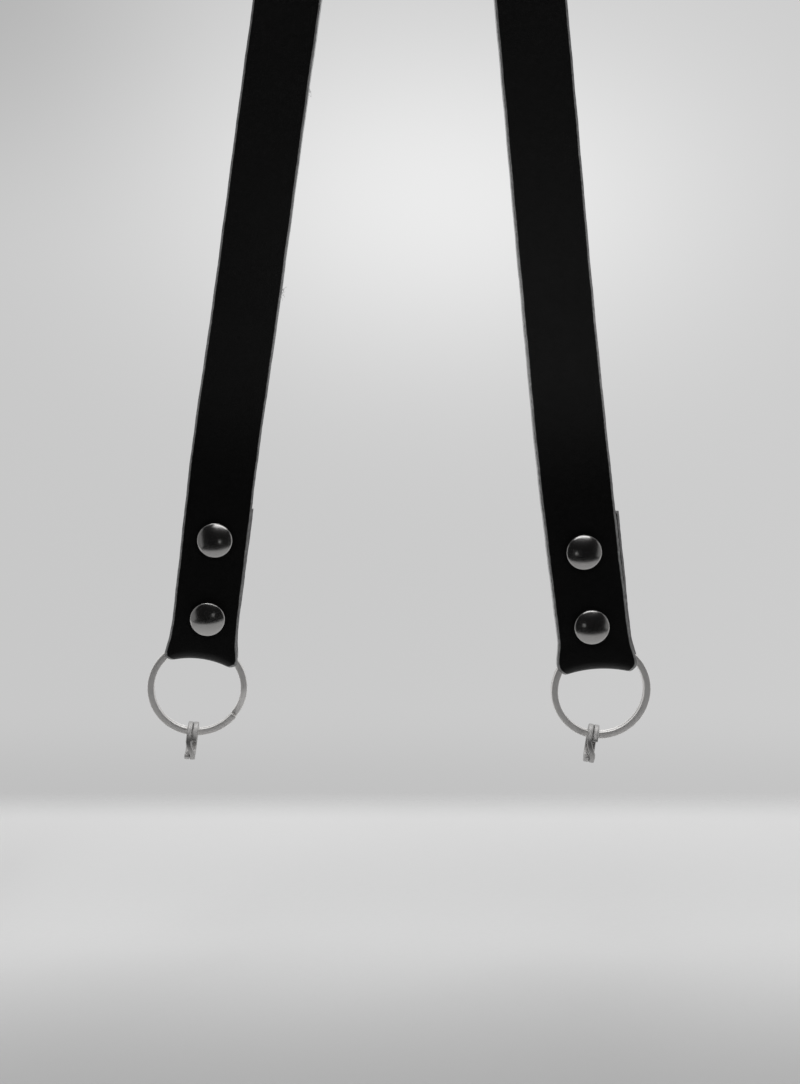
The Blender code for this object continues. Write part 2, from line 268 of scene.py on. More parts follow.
def smooth_step(value: np.ndarray, low: float, high: float) -> np.ndarray:
    """Numbers eased from 0 at low to 1 at high."""
    share = np.clip((value - low) / (high - low), 0.0, 1.0)
    return share * share * (3.0 - 2.0 * share)


def knot_slopes(knots: np.ndarray, values: np.ndarray) -> np.ndarray:
    """The slopes of a smooth curve through values at uneven knots.

    Args:
        knots: the places, rising.
        values: one row of numbers for each knot.

    Returns:
        One row of slopes for each knot.
    """
    steps = np.diff(knots).reshape((-1,) + (1,) * (values.ndim - 1))
    chords = np.diff(values, axis=0) / steps
    slopes = np.empty_like(values)
    slopes[1:-1] = (chords[:-1] * steps[1:] + chords[1:] * steps[:-1]) / (steps[:-1] + steps[1:])
    slopes[0] = chords[0]
    slopes[-1] = chords[-1]
    return slopes


def curve_at(
    knots: np.ndarray, places: np.ndarray, read: Callable[[bool, np.ndarray], np.ndarray]
) -> Tuple[np.ndarray, np.ndarray, np.ndarray]:
    """Reads a smooth curve between its knots.

    Args:
        knots: the knots, rising.
        places: where along them.
        read: gives the curve's values (False) or slopes (True) at knots of given numbers.

    Returns:
        The values, each place's knot number, and its share of the way to the next knot.
    """
    low = np.clip(np.searchsorted(knots, places, side="right") - 1, 0, len(knots) - 2)
    step = (knots[low + 1] - knots[low])[:, None]
    share = (places - knots[low])[:, None] / step
    first, last = read(False, low), read(False, low + 1)
    leaving = read(True, low) * step * share * (1.0 - share) ** 2
    arriving = read(True, low + 1) * step * share**2 * (1.0 - share)
    return first + (last - first) * share**2 * (3.0 - 2.0 * share) + leaving - arriving, low, share


@dataclass(frozen=True)
class EndRoute:
    """The route of one end of the band: its tab, its fold round the ring and its front layer."""

    form: EndForm
    sizes: StrapSizes = SIZES
    layer_rows: int = 26
    fold_rows: int = 36

    @property
    def matrix(self) -> Matrix:
        """The axes of the end, with the big ring's centre as their origin.

        Returns:
            The place of those axes in the world.
        """
        form, sizes = self.form, self.sizes
        place = (form.hand.sign * form.reach * sizes.reach, form.depth * sizes.depth, -sizes.drop)
        lean, pitch, face = turned(form.lean, "Y"), turned(sizes.pitch, "X"), turned(form.face, "Z")
        return Matrix.Translation(place) @ lean @ pitch @ face

    @property
    def half_width(self) -> float:
        """Half the width of this end of the band."""
        return self.form.breadth * self.sizes.width / 2

    @property
    def tab_end(self) -> float:
        """The height of the tab's cut edge above the ring's centre."""
        return self.rivet_height(Level.UPPER) + self.sizes.tab_margin

    def rivet_height(self, level: Level) -> float:
        """How far a rivet's axis is above the ring's centre."""
        lower = self.form.rise * self.sizes.rivet_rise
        return lower if level is Level.LOWER else lower + self.form.spacing * self.sizes.rivet_spacing

    def rivet_across(self, level: Level) -> float:
        """How far a rivet's axis is from the end's middle line."""
        nudge = self.form.rivet_shift if level is Level.LOWER else 0.0
        return (self.form.shift + nudge) * self.sizes.width

    def layer_at(self, height: float) -> Tuple[float, float]:
        """Half the gap between the layers, and their thickness.

        Args:
            height: the height above the ring's centre.

        Returns:
            The half gap and the thickness of each layer.
        """
        sizes = self.sizes
        rises = [row.rise * sizes.big_ring.radius for row in LAYERS]
        open_share = np.interp(height, rises, [row.open for row in LAYERS])
        skive = np.interp(height, rises, [row.skive for row in LAYERS])
        closed = sizes.clearance / 2
        thickness = sizes.fold_thickness + skive * (sizes.thickness - sizes.fold_thickness)
        return float(closed + open_share * (sizes.layer_gap - closed)), float(thickness)

    def proud(self, height: float, cap_radius: float) -> float:
        """How far a cap with its axis at a height stands off the end's middle plane."""
        under_cap = np.linspace(height - cap_radius, height + cap_radius, 9)
        return max(sum(self.layer_at(place)) for place in under_cap) + self.sizes.clearance

    def tab_lean(self, height: float) -> float:
        """How far the back layer has moved across at a height."""
        low, high = self.form.fold_shift, self.form.tab_shift
        return (low + (high - low) * height / self.tab_end) * self.sizes.width

    def layer_row(self, height: float, face: int, shares: np.ndarray) -> Tuple[np.ndarray, float]:
        """One row across the front layer (face 1) or the back layer (face -1).

        Args:
            height: the height above the ring's centre.
            face: 1 for the front layer, -1 for the back one.
            shares: places across the row, from -1 to 1.

        Returns:
            The row's points in the end's axes, and the leather's thickness there.
        """
        form, sizes, radius = self.form, self.sizes, self.sizes.big_ring.radius
        half_gap, thickness = self.layer_at(height)
        fade = self.fade(height, form.corner * radius, sizes.flare_fades_at * radius)
        across = shares * self.half_width * (1.0 + (form.flare - 1.0) * fade)
        centre = form.shift * sizes.width + (self.tab_lean(height) if face < 0 else 0.0)
        lift = form.tilt * self.fade(height, radius, sizes.tilt_fades_at * radius)
        depth = np.full_like(shares, -face * (half_gap + thickness / 2))
        return np.column_stack([centre + across, depth, height + lift * across]), thickness

    def fold_row(self, angle: float, shares: np.ndarray) -> Tuple[np.ndarray, float]:
        """One row across the fold under the ring.

        Args:
            angle: degrees round the fold, from 90 at the front to -90 at the back.
            shares: places across the row, from -1 to 1.

        Returns:
            The row's points in the end's axes, and the leather's thickness there.
        """
        form, sizes, radius = self.form, self.sizes, self.sizes.big_ring.radius
        swing = math.radians(angle)
        deep = sizes.layer_gap + sizes.fold_thickness / 2
        pinched = form.pinch * self.half_width
        opening = (1.0 - math.cos(swing)) ** sizes.pinch_shape
        across = shares * (pinched + (form.flare * self.half_width - pinched) * opening)
        lowest = (form.bottom - form.sag * shares**2) * radius + sizes.fold_thickness / 2
        middle = form.bottom * radius + sizes.fold_thickness / 2 + deep
        start = middle - (middle - form.corner * radius) * np.abs(shares) ** sizes.corner_shape
        height = start - (start - lowest) * math.cos(swing) + form.tilt * across
        depth = np.full_like(shares, -deep * math.sin(swing))
        centre = (form.shift + form.fold_shift * (1.0 - math.sin(swing)) / 2) * sizes.width
        return np.column_stack([centre + across, depth, height]), sizes.fold_thickness

    @staticmethod
    def fade(value: float, start: float, end: float) -> float:
        """1 at start, easing to 0 at end."""
        share = min(max((value - start) / (end - start), 0.0), 1.0)
        return (1.0 - share) ** 2

    def rows(self, shares: np.ndarray) -> List[Row]:
        """All rows of the end in world axes, from the tab's edge round the fold and up the front.

        Args:
            shares: places across each row, from -1 to 1.

        Returns:
            For each row its points, its thickness and how hard it is bent, from 0 to 1.
        """
        top = self.tab_end
        heights = np.linspace(top, LAYERS[0].rise * self.sizes.big_ring.radius, self.layer_rows)
        angles = np.linspace(-90.0, 90.0, self.fold_rows + 1)
        found = [(*self.layer_row(height, -1, shares), 0.0) for height in heights]
        found += [(*self.fold_row(angle, shares), math.cos(math.radians(angle)) ** 0.5) for angle in angles]
        found += [(*self.layer_row(height, 1, shares), 0.0) for height in reversed(heights)]
        found.append((*self.layer_row(top + self.sizes.end_margin, 1, shares), 0.0))
        return [(placed(points, self.matrix), thickness, bent) for points, thickness, bent in found]


@dataclass(frozen=True)
class ArmRoute:
    """The route of a single layer of the band from an end up to the support."""

    end: EndRoute
    stations: Tuple[Station, ...]
    row_count: int = 54

    def rows(self, last_row: np.ndarray, shares: np.ndarray) -> List[Row]:
        """The rows of the arm in world axes.

        Args:
            last_row: the points of the end's last row.
            shares: places across each row, from -1 to 1.

        Returns:
            For each row its points, its thickness and how hard it is bent.
        """
        sizes, form = self.end.sizes, self.end.form
        sign = form.hand.sign
        quarter = sign * math.pi / 2
        spread_range = form.reach * sizes.reach - sizes.seat_line
        places = [last_row.mean(axis=0)]
        for row in self.stations:
            sideways = sign * (sizes.seat_line + row.spread * spread_range)
            places.append(np.array([sideways, row.depth * sizes.depth, -row.fall * sizes.drop]))
        places.append(np.array([sign * sizes.seat_line, 0.0, -sizes.seat_radius]))
        line = np.array(places)
        knots = np.concatenate([[0.0], np.cumsum(np.linalg.norm(np.diff(line, axis=0), axis=1))])
        turns = [math.radians(form.face) / quarter] + [row.turn for row in self.stations] + [1.0]
        breadths = [form.breadth] + [row.breadth for row in self.stations] + [sizes.seat_breadth]
        table = np.column_stack([line, turns, breadths])
        slopes = knot_slopes(knots, table)
        slopes[0] = (*self.end.matrix.to_3x3().col[2], 0.0, 0.0)
        slopes[-1] = (0.0, 0.0, 1.0, 0.0, 0.0)
        where = np.linspace(0.0, knots[-1], self.row_count + 1)
        read, _, _ = curve_at(knots, where, lambda sloping, low: (slopes if sloping else table)[low])
        rows = []
        for before, (*middle, turn, breadth), after in zip(read, read[1:], read[2:]):
            along = Vector(after[:3] - before[:3]).normalized()
            grain = Vector((0.0, -1.0, 0.0))
            grain = (grain - grain.dot(along) * along).normalized()
            grain.rotate(Matrix.Rotation(turn * quarter, 3, along))
            across = np.array(along.cross(grain)) * breadth * sizes.width / 2
            rows.append((np.array(middle) + shares[:, None] * across, sizes.thickness, 0.0))
        return rows


class BandSurface:
    """The middle surface of the whole band, from the left tab over the support to the right tab."""

    COLUMNS = 33
    SEAT_ROWS = 30
    SEAT_BENT = 0.12

    def __init__(self, sizes: StrapSizes, ends: Dict[Hand, EndRoute], arms: Dict[Hand, ArmRoute]) -> None:
        """Works out the surface.

        Args:
            sizes: the strap's sizes.
            ends: the route of each end.
            arms: the route of each arm.
        """
        self.sizes = sizes
        self.ends = ends
        shares = np.linspace(-1.0, 1.0, self.COLUMNS)
        sides = {}
        for hand in Hand:
            rows = ends[hand].rows(shares)
            sides[hand] = rows + arms[hand].rows(rows[-1][0], shares)
        right = [(points[::-1], thick, bent) for points, thick, bent in reversed(sides[Hand.RIGHT])]
        rows = sides[Hand.LEFT] + self._seat(shares) + right
        self.points, self.thickness, self.bent = (np.array(column) for column in zip(*rows))
        self.middle = self.points[:, self.COLUMNS // 2]
        steps = np.linalg.norm(np.diff(self.middle, axis=0), axis=1)
        self.knots = np.concatenate([[0.0], np.cumsum(steps)])
        self.slopes = knot_slopes(self.knots, self.points)
        self.across = np.gradient(self.points, shares, axis=1)

    @property
    def length(self) -> float:
        """The band's flat length."""
        return float(self.knots[-1])

    def _seat(self, shares: np.ndarray) -> List[Row]:
        """The half circle over the support.

        Args:
            shares: places across each row, from -1 to 1.

        Returns:
            Its rows, from left to right.
        """
        sizes, rows = self.sizes, []
        across = np.array([0.0, -sizes.seat_breadth * sizes.width / 2, 0.0])
        for angle in np.linspace(math.pi, 0.0, self.SEAT_ROWS + 1):
            outward = np.array([math.cos(angle), 0.0, math.sin(angle)])
            centre = outward * sizes.seat_line - np.array([0.0, 0.0, sizes.seat_radius])
            rows.append((centre + shares[:, None] * across, sizes.thickness, self.SEAT_BENT))
        return rows

    def at(self, along: np.ndarray, share: np.ndarray) -> Tuple[np.ndarray, np.ndarray]:
        """Places on the surface.

        Args:
            along: flat lengths from the left tab's edge.
            share: places across the band, from -1 to 1.

        Returns:
            The points, and the directions out of the grain side.
        """
        place = (np.clip(share, -1.0, 1.0) + 1.0) / 2 * (self.COLUMNS - 1)
        column = np.clip(place.astype(int), 0, self.COLUMNS - 2)
        part = (place - column)[:, None]

        def read(table: np.ndarray, row: np.ndarray) -> np.ndarray:
            """A table's values on given rows, between two of its columns."""
            return table[row, column] * (1.0 - part) + table[row, column + 1] * part

        points, row, way = curve_at(
            self.knots, along, lambda sloping, low: read(self.slopes if sloping else self.points, low)
        )
        forward, sideways = (
            read(table, row) * (1.0 - way) + read(table, row + 1) * way
            for table in (self.slopes, self.across)
        )
        normals = np.cross(sideways, forward)
        return points, normals / np.linalg.norm(normals, axis=1, keepdims=True)

    def nearest(self, hand: Hand, cost: np.ndarray) -> int:
        """The row of one half of the band where a cost is least."""
        half = len(cost) // 2
        return int(np.argmin(cost[:half])) if hand is Hand.LEFT else half + int(np.argmin(cost[half:]))

    def side_length(self, hand: Hand, height: float, front: bool) -> float:
        """The flat length at a height of one end.

        Args:
            hand: which end.
            height: the height above the ring's centre, along the end.
            front: whether the front layer is meant, or the tab behind it.

        Returns:
            The flat length from the left tab's edge.
        """
        end = self.ends[hand]
        if not front:
            down = end.tab_end - height
            return down if hand is Hand.LEFT else self.length - down
        centre = self.middle - np.array(end.matrix.translation)
        _, depths, heights = (centre @ np.array(end.matrix.to_3x3())).T
        near = np.abs(self.middle[:, 0] - end.matrix.translation.x) < self.sizes.reach
        row = self.nearest(hand, np.where(near & (depths < 0.0), np.abs(heights - height), 1.0))
        return float(self.knots[row] - hand.sign * (height - heights[row]))


def operator(operation: str, reflected: bool = False) -> Callable[["Signal", Number], "Signal"]:
    """A method of a signal that does a sum.

    Args:
        operation: the Math node's operation.
        reflected: whether the signal is the second value.

    Returns:
        The method.
    """
    def method(signal: "Signal", other: Number) -> "Signal":
        """The sum of this signal and another value."""
        values = (other, signal) if reflected else (signal, other)
        return signal.graph.math(operation, *values)

    return method


@dataclass(frozen=True)
class Signal:
    """A node's output that Python's operators do sums with."""

    graph: "Graph"
    socket: bpy.types.NodeSocket

    __add__ = __radd__ = operator("ADD")
    __mul__ = __rmul__ = operator("MULTIPLY")
    __sub__ = operator("SUBTRACT")
    __rsub__ = operator("SUBTRACT", reflected=True)
    __truediv__ = operator("DIVIDE")

    def absolute(self) -> "Signal":
        """The signal without its sign."""
        return self.graph.math("ABSOLUTE", self)

    def eased(self, low: float, high: float) -> "Signal":
        """The signal eased from 0 where it is low to 1 where it is high."""
        inputs = {"Value": self, "From Min": low, "From Max": high}
        return self.graph.make("ShaderNodeMapRange", EASING, inputs)


Colour = Union[Signal, Tuple[float, float, float, float]]


def opaque(level: float, warmth: float = 1.0) -> Colour:
    """A grey, with less green and still less blue where its warmth is under 1."""
    return level, level * warmth, level * warmth**2, 1.0


class Graph:
    """The nodes of one material or world."""

    def __init__(self, tree: bpy.types.NodeTree) -> None:
        """Empties a node tree to build in."""
        self.tree = tree
        tree.nodes.clear()

    def node(self, kind: str, settings: Values = None, inputs: Values = None) -> bpy.types.Node:
        """Adds one node.

        Args:
            kind: the node's type.
            settings: its properties, set first.
            inputs: the values or signals of its sockets, by name or number.

        Returns:
            The node.
        """
        made = self.tree.nodes.new(kind)
        for name, value in (settings or {}).items():
            setattr(made, name, value)
        for name, value in (inputs or {}).items():
            if isinstance(value, Signal):
                self.tree.links.new(value.socket, made.inputs[name])
            else:
                made.inputs[name].default_value = value
        return made

    def make(self, kind: str, settings: Values = None, inputs: Values = None, output: Any = 0) -> Signal:
        """Adds one node and gives one of its outputs, by name or number."""
        return Signal(self, self.node(kind, settings, inputs).outputs[output])

    def math(self, operation: str, *values: Number) -> Signal:
        """Adds a Math node on some values."""
        return self.make("ShaderNodeMath", {"operation": operation}, dict(enumerate(values)))

    def vector_math(self, operation: str, first: Signal, inputs: Values) -> Signal:
        """Adds a Vector Math node on a vector and other inputs."""
        return self.make("ShaderNodeVectorMath", {"operation": operation}, {0: first, **inputs})

    def attribute(self, name: str, output: str = "Fac") -> Signal:
        """A named attribute of the piece's mesh."""
        return self.make("ShaderNodeAttribute", {"attribute_name": name}, output=output)

    def stretched(self, vector: Signal, scale: Tuple[float, float, float]) -> Signal:
        """A vector with each of its parts scaled."""
        return self.vector_math("MULTIPLY", vector, {1: scale})

    def noise(self, vector: Signal, scale: float, detail: float = 2.0, roughness: float = 0.5) -> Signal:
        """Noise over a vector, with finer layers of some strength, about 0.5 in its middle."""
        inputs = {"Vector": vector, "Scale": scale, "Detail": detail, "Roughness": roughness}
        return self.make("ShaderNodeTexNoise", {"noise_dimensions": "3D"}, inputs)

    def grey(self, low: float, high: float, factor: Number) -> Signal:
        """A grey some way between two levels."""
        return self.tint(opaque(low), opaque(high), factor)

    def tint(self, first: Colour, second: Colour, factor: Number) -> Signal:
        """A colour some way between two others."""
        return self.make("ShaderNodeMix", MIXING, {0: factor, 6: first, 7: second}, output=2)

    def bump(self, height: Signal, distance: float, **under: Signal) -> Signal:
        """A normal bumped by a height from 0 to 1 that stands for a distance, on top of any Normal."""
        inputs = {"Height": height, "Distance": distance, "Strength": 1.0, **under}
        return self.make("ShaderNodeBump", None, inputs)

    def surface(self, constants: Dict[str, Any], changing: Dict[str, Signal]) -> None:
        """Ends a material with its shader, from sockets that stay the same and ones that don't."""
        shader = self.node("ShaderNodeBsdfPrincipled", None, {**constants, **changing})
        self.node("ShaderNodeOutputMaterial", None, {"Surface": Signal(self, shader.outputs[0])})


def new_material(name: str) -> Tuple[Material, Graph]:
    """An empty material and its graph.

    Args:
        name: the material's name.

    Returns:
        The material and the graph of its nodes.
    """
    material = bpy.data.materials.new(name)
    material.use_nodes = True
    return material, Graph(material.node_tree)


@dataclass(frozen=True)
class LeatherFinish:
    """Black bridle leather: a smooth finished grain side, a napped flesh side and burnished edges, whose
    light colour is partly raw leather and partly a painted rim highlight.

    It reads the mesh's attributes: flat, the place on the flat band in metres, grain_side, rim,
    bent and pressed.
    """

    name: str = "black_leather"
    black: float = 0.0036
    rubbed: float = 0.020
    # The edge colour is partly raw leather and partly a painted rim highlight.
    raw_edge_and_rim_highlight: float = 0.52
    flesh: float = 0.008
    grain_per_metre: float = 2300.0
    grain_height: float = 0.00003
    nap_height: float = 0.00009

    def material(self) -> Material:
        """Makes the leather.

        Returns:
            The finished material.
        """
        material, graph = new_material(self.name)
        flat = graph.attribute("flat", "Vector")
        grain_side, rim, bent, pressed = map(graph.attribute, ("grain_side", "rim", "bent", "pressed"))
        clouds = graph.noise(flat, 45.0, 3.0)
        patches = graph.noise(flat, 190.0, 4.0, 0.6)
        nap = graph.noise(graph.stretched(flat, (900.0, 2600.0, 2600.0)), 1.0, 4.0, 0.65)
        scuffs = graph.noise(graph.stretched(flat, (60.0, 2400.0, 900.0)), 1.0, 3.0).eased(0.66, 0.80)
        wear = rim.eased(0.15, 0.9) * patches.eased(0.42, 0.66) * 0.55 + bent * 0.30 * patches
        grain_colour = graph.grey(self.black * 0.82, self.black * 1.25, clouds)
        worn_colour = graph.tint(grain_colour, opaque(self.rubbed), wear)
        flesh_colour = graph.grey(self.flesh * 0.55, self.flesh * 1.7, nap.eased(0.3, 0.75))
        # The light edge colour, partly raw leather and partly a painted rim highlight, laid on along the
        # rim.
        edge_and_rim_highlight = graph.grey(self.raw_edge_and_rim_highlight * 0.55, self.raw_edge_and_rim_highlight * 1.25, nap.eased(0.25, 0.8))
        faced_colour = graph.tint(flesh_colour, worn_colour, grain_side)
        colour = graph.tint(faced_colour, edge_and_rim_highlight, (rim + (patches - 0.5) * 0.20).eased(0.38, 0.66))
        pressed_colour = graph.tint(colour, opaque(self.black * 0.6), pressed * 0.5)
        smooth = 0.47 + (patches - 0.5) * 0.16 + (clouds - 0.5) * 0.10 + scuffs * 0.14 - pressed * 0.06
        burnished = 0.36 + (patches - 0.5) * 0.22
        grain_roughness = smooth + (burnished - smooth) * rim
        constants = {"Specular IOR Level": 0.18, "IOR": 1.47, "Coat Roughness": 0.24, "Coat IOR": 1.5}
        graph.surface(constants, {
            "Base Color": pressed_colour,
            "Roughness": 0.88 + (grain_roughness - 0.88) * grain_side,
            "Coat Weight": bent * 0.25 + rim.eased(0.3, 0.7) * 0.70,
            "Normal": self._relief(graph, flat, (grain_side, rim, bent), nap, scuffs),
        })
        return material

    def _relief(
        self, graph: Graph, flat: Signal, masks: Tuple[Signal, Signal, Signal], nap: Signal, scuffs: Signal
    ) -> Signal:
        """The leather's normal, from its grain, pores, creases, nap and burnished lines.

        Args:
            graph: the material's graph.
            flat: the place on the flat band.
            masks: where the grain side, the rim and the bends are.
            nap: the flesh side's fibres.
            scuffs: the marks of wear.

        Returns:
            The normal.
        """
        grain_side, rim, bent = masks
        inputs = {"Vector": flat, "Scale": 700.0, "Detail": 2.0}
        drift = graph.make("ShaderNodeTexNoise", {"noise_dimensions": "3D"}, inputs, output="Color")
        wander = graph.vector_math("SCALE", drift, {"Scale": 0.0009})
        settings = {"feature": "DISTANCE_TO_EDGE", "voronoi_dimensions": "3D"}
        inputs = {"Vector": graph.vector_math("ADD", flat, {1: wander}), "Scale": self.grain_per_metre}
        cells = graph.make("ShaderNodeTexVoronoi", settings, inputs)
        pores = graph.noise(flat, 9000.0, 2.0).eased(0.25, 0.5)
        creases = graph.noise(graph.stretched(flat, (5200.0, 420.0, 420.0)), 1.0, 3.0, 0.6).eased(0.35, 0.62)
        lines = graph.noise(graph.stretched(flat, (120.0, 5200.0, 9000.0)), 1.0, 3.0, 0.6)
        smooth = cells.eased(0.0, 0.22) * 0.72 + pores * 0.28 - scuffs * 0.25
        cracked = smooth * (1.0 - bent * 0.6) + creases * bent * 1.3
        faced = cracked + (lines * 0.8 - cracked) * rim
        fine = graph.bump(faced * grain_side, self.grain_height)
        return graph.bump(nap * (1.0 - grain_side), self.nap_height, Normal=fine)


@dataclass(frozen=True)
class MetalFinish:
    """Plated metal. The mesh's attribute flat runs along the wire, or round the cap."""

    name: str
    bright: float
    dull: float
    roughness: float
    spread: float
    scratch_height: float
    stretch: Tuple[float, float, float] = (160.0, 5200.0, 5200.0)
    wear: float = 0.3
    seam_shade_and_dirt: float = 0.5
    warmth: float = 0.985
    # The dark colour of the seams: painted shade with some grime.
    shade_and_grime: float = 0.10

    def material(self) -> Material:
        """Makes the metal.

        Returns:
            The finished material.
        """
        material, graph = new_material(self.name)
        flat = graph.attribute("flat", "Vector")
        # seam marks where parts touch, under a cap's rim and between a ring's coils; the finish is darkened
        # there as painted shade with some grime.
        shade_and_dirt = graph.attribute("seam") * self.seam_shade_and_dirt
        drawn = graph.noise(graph.stretched(flat, self.stretch), 1.0, 4.0, 0.62)
        clouds = graph.noise(flat, 260.0, 3.0, 0.55)
        specks = graph.noise(flat, 2600.0, 3.0, 0.5).eased(0.66, 0.76)
        marks = graph.noise(graph.stretched(flat, (3400.0, 500.0, 900.0)), 1.0, 2.0).eased(0.68, 0.76)
        tarnish_and_seam_shade = clouds.eased(0.45, 0.75) * 0.5 + specks * self.wear + shade_and_dirt
        colour = graph.tint(opaque(self.bright, self.warmth), opaque(self.dull, self.warmth), tarnish_and_seam_shade)
        graph.surface({"Metallic": 1.0}, {
            "Base Color": graph.tint(colour, opaque(self.shade_and_grime), shade_and_dirt),
            "Roughness": self.roughness + (drawn - 0.5) * self.spread + tarnish_and_seam_shade * self.spread * 0.6
            + marks * self.wear * 0.1,
            "Normal": graph.bump(drawn * 0.7 - (marks + specks) * self.wear * 0.5, self.scratch_height),
        })
        return material


@dataclass(frozen=True)
class FloorFinish:
    """Matt pale card with a painted shadow that darkens it in front and painted light that makes it palest
    far back, and it fades out at its far edge.
    """

    name: str = "pale_card"
    level: float = 0.80
    # Painted shadow in front and painted light far back, as shares of the card's level, with the depths
    # where each eases in.
    painted_front_shadow: float = 0.61
    painted_back_light: float = 1.13
    front_shadow_span: Tuple[float, float] = (-0.075, 0.030)
    back_light_span: Tuple[float, float] = (0.050, 0.160)
    fades: Tuple[float, float] = (0.138, 0.190)

    def material(self) -> Material:
        """Makes the card.

        Returns:
            The finished material.
        """
        material, graph = new_material(self.name)
        place = graph.make("ShaderNodeTexCoord", output="Object")
        fibre = graph.noise(place, 900.0, 3.0)
        depth = graph.make("ShaderNodeSeparateXYZ", None, {"Vector": place}, output="Y")
        colour = graph.grey(self.level * 0.985, self.level * 1.015, fibre)
        # Painted shadow towards the front, then painted light far back.
        colour = graph.tint(opaque(self.level * self.painted_front_shadow), colour, depth.eased(*self.front_shadow_span))
        colour = graph.tint(colour, opaque(self.level * self.painted_back_light), depth.eased(*self.back_light_span))
        solid = 1.0 - depth.eased(*self.fades)
        normal = graph.bump(fibre, 0.00002)
        graph.surface({"Roughness": 0.75}, {"Base Color": colour, "Alpha": solid, "Normal": normal})
        return material


class Workshop:
    """The hand tools that pieces are modelled with."""

    @staticmethod
    def start() -> None:
        """Leaves edit mode and selects nothing."""
        if bpy.context.object is not None and bpy.context.object.mode != "OBJECT":
            bpy.ops.object.mode_set(mode="OBJECT")
        bpy.ops.object.select_all(action="DESELECT")

    @staticmethod
    def named(name: str) -> Piece:
        """Names the primitive that was just added, and its mesh."""
        bpy.context.object.name = bpy.context.object.data.name = name
        return bpy.context.object

    @staticmethod
    def read(parts: bpy.types.bpy_prop_collection, name: str) -> np.ndarray:
        """Reads three numbers of each part of a mesh.

        Args:
            parts: the mesh's points or faces.
            name: the property that holds the numbers.

        Returns:
            One row for each part.
        """
        numbers = np.zeros(len(parts) * 3)
        parts.foreach_get(name, numbers)
        return numbers.reshape(-1, 3)

    @classmethod
    def points(cls, piece: Piece) -> np.ndarray:
        """The places of a mesh's points, one row each."""
        return cls.read(piece.data.vertices, "co")

    @staticmethod
    def move_points(piece: Piece, places: np.ndarray) -> None:
        """Puts a mesh's points at new places, one row each."""
        piece.data.vertices.foreach_set("co", places.astype(np.float32).ravel())
        piece.data.update()

    @staticmethod
    def note(piece: Piece, **noted: np.ndarray) -> None:
        """Stores numbers, or rows of three, on a mesh's points.

        Args:
            piece: the object.
            **noted: the values of each attribute, one for each point.
        """
        for name, values in noted.items():
            kind, part = ("FLOAT_VECTOR", "vector") if values.ndim == 2 else ("FLOAT", "value")
            attribute = piece.data.attributes.new(name, kind, "POINT")
            attribute.data.foreach_set(part, values.astype(np.float32).ravel())

    @classmethod
    def take(cls, piece: Piece) -> None:
        """Makes a piece the only one that is selected, and the active one.

        Args:
            piece: the object.
        """
        cls.start()
        bpy.context.view_layer.objects.active = piece
        piece.select_set(True)

    @classmethod
    def apply(cls, piece: Piece, kind: str, **settings: Any) -> None:
        """Adds a modifier and applies it.

        Args:
            piece: the object.
            kind: the modifier's type.
            **settings: its properties.
        """
        cls.take(piece)
        modifier = piece.modifiers.new(kind.lower(), kind)
        for name, value in settings.items():
            setattr(modifier, name, value)
        bpy.ops.object.modifier_apply(modifier=modifier.name)

    @staticmethod
    def edit(piece: Piece, kind: str, action: str) -> None:
        """Starts edit mode and selects all or nothing.

        Args:
            piece: the object.
            kind: the selection mode.
            action: SELECT or DESELECT.
        """
        bpy.context.view_layer.objects.active = piece
        bpy.ops.object.mode_set(mode="EDIT")
        bpy.ops.mesh.select_mode(type=kind)
        bpy.ops.mesh.select_all(action=action)

    @staticmethod
    def done() -> None:
        """Ends edit mode."""
        bpy.ops.object.mode_set(mode="OBJECT")

    @classmethod
    def pick(cls, piece: Piece, kind: str, chosen: Sequence[bool]) -> None:
        """Starts edit mode with only some faces or edges selected.

        Args:
            piece: the object, in object mode.
            kind: FACE or EDGE.
            chosen: for each face or edge, whether it is selected.
        """
        cls.edit(piece, kind, "DESELECT")
        cls.done()
        parts = piece.data.polygons if kind == "FACE" else piece.data.edges
        parts.foreach_set("select", np.array(chosen, bool))
        bpy.ops.object.mode_set(mode="EDIT")

    @staticmethod
    def shade(piece: Piece, degrees: float) -> None:
        """Smooth shading, with an edge left sharp where faces turn more than an angle."""
        piece.data.shade_smooth()
        piece.data.set_sharp_from_angle(angle=math.radians(degrees))

    @staticmethod
    def dress(piece: Piece, material: Material, slot: Slot, *nodes: str) -> None:
        """Gives a piece its material and its place in the frame.

        Args:
            piece: the object.
            material: its material.
            slot: the record's slot of that finish; not used.
            *nodes: the solids that it stands for.
        """
        piece.data.materials.clear()
        piece.data.materials.append(material)
        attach(piece, ROOT)
        if nodes:
            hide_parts(*nodes)
        LOG.info("%s: %d faces", piece.name, len(piece.data.polygons))


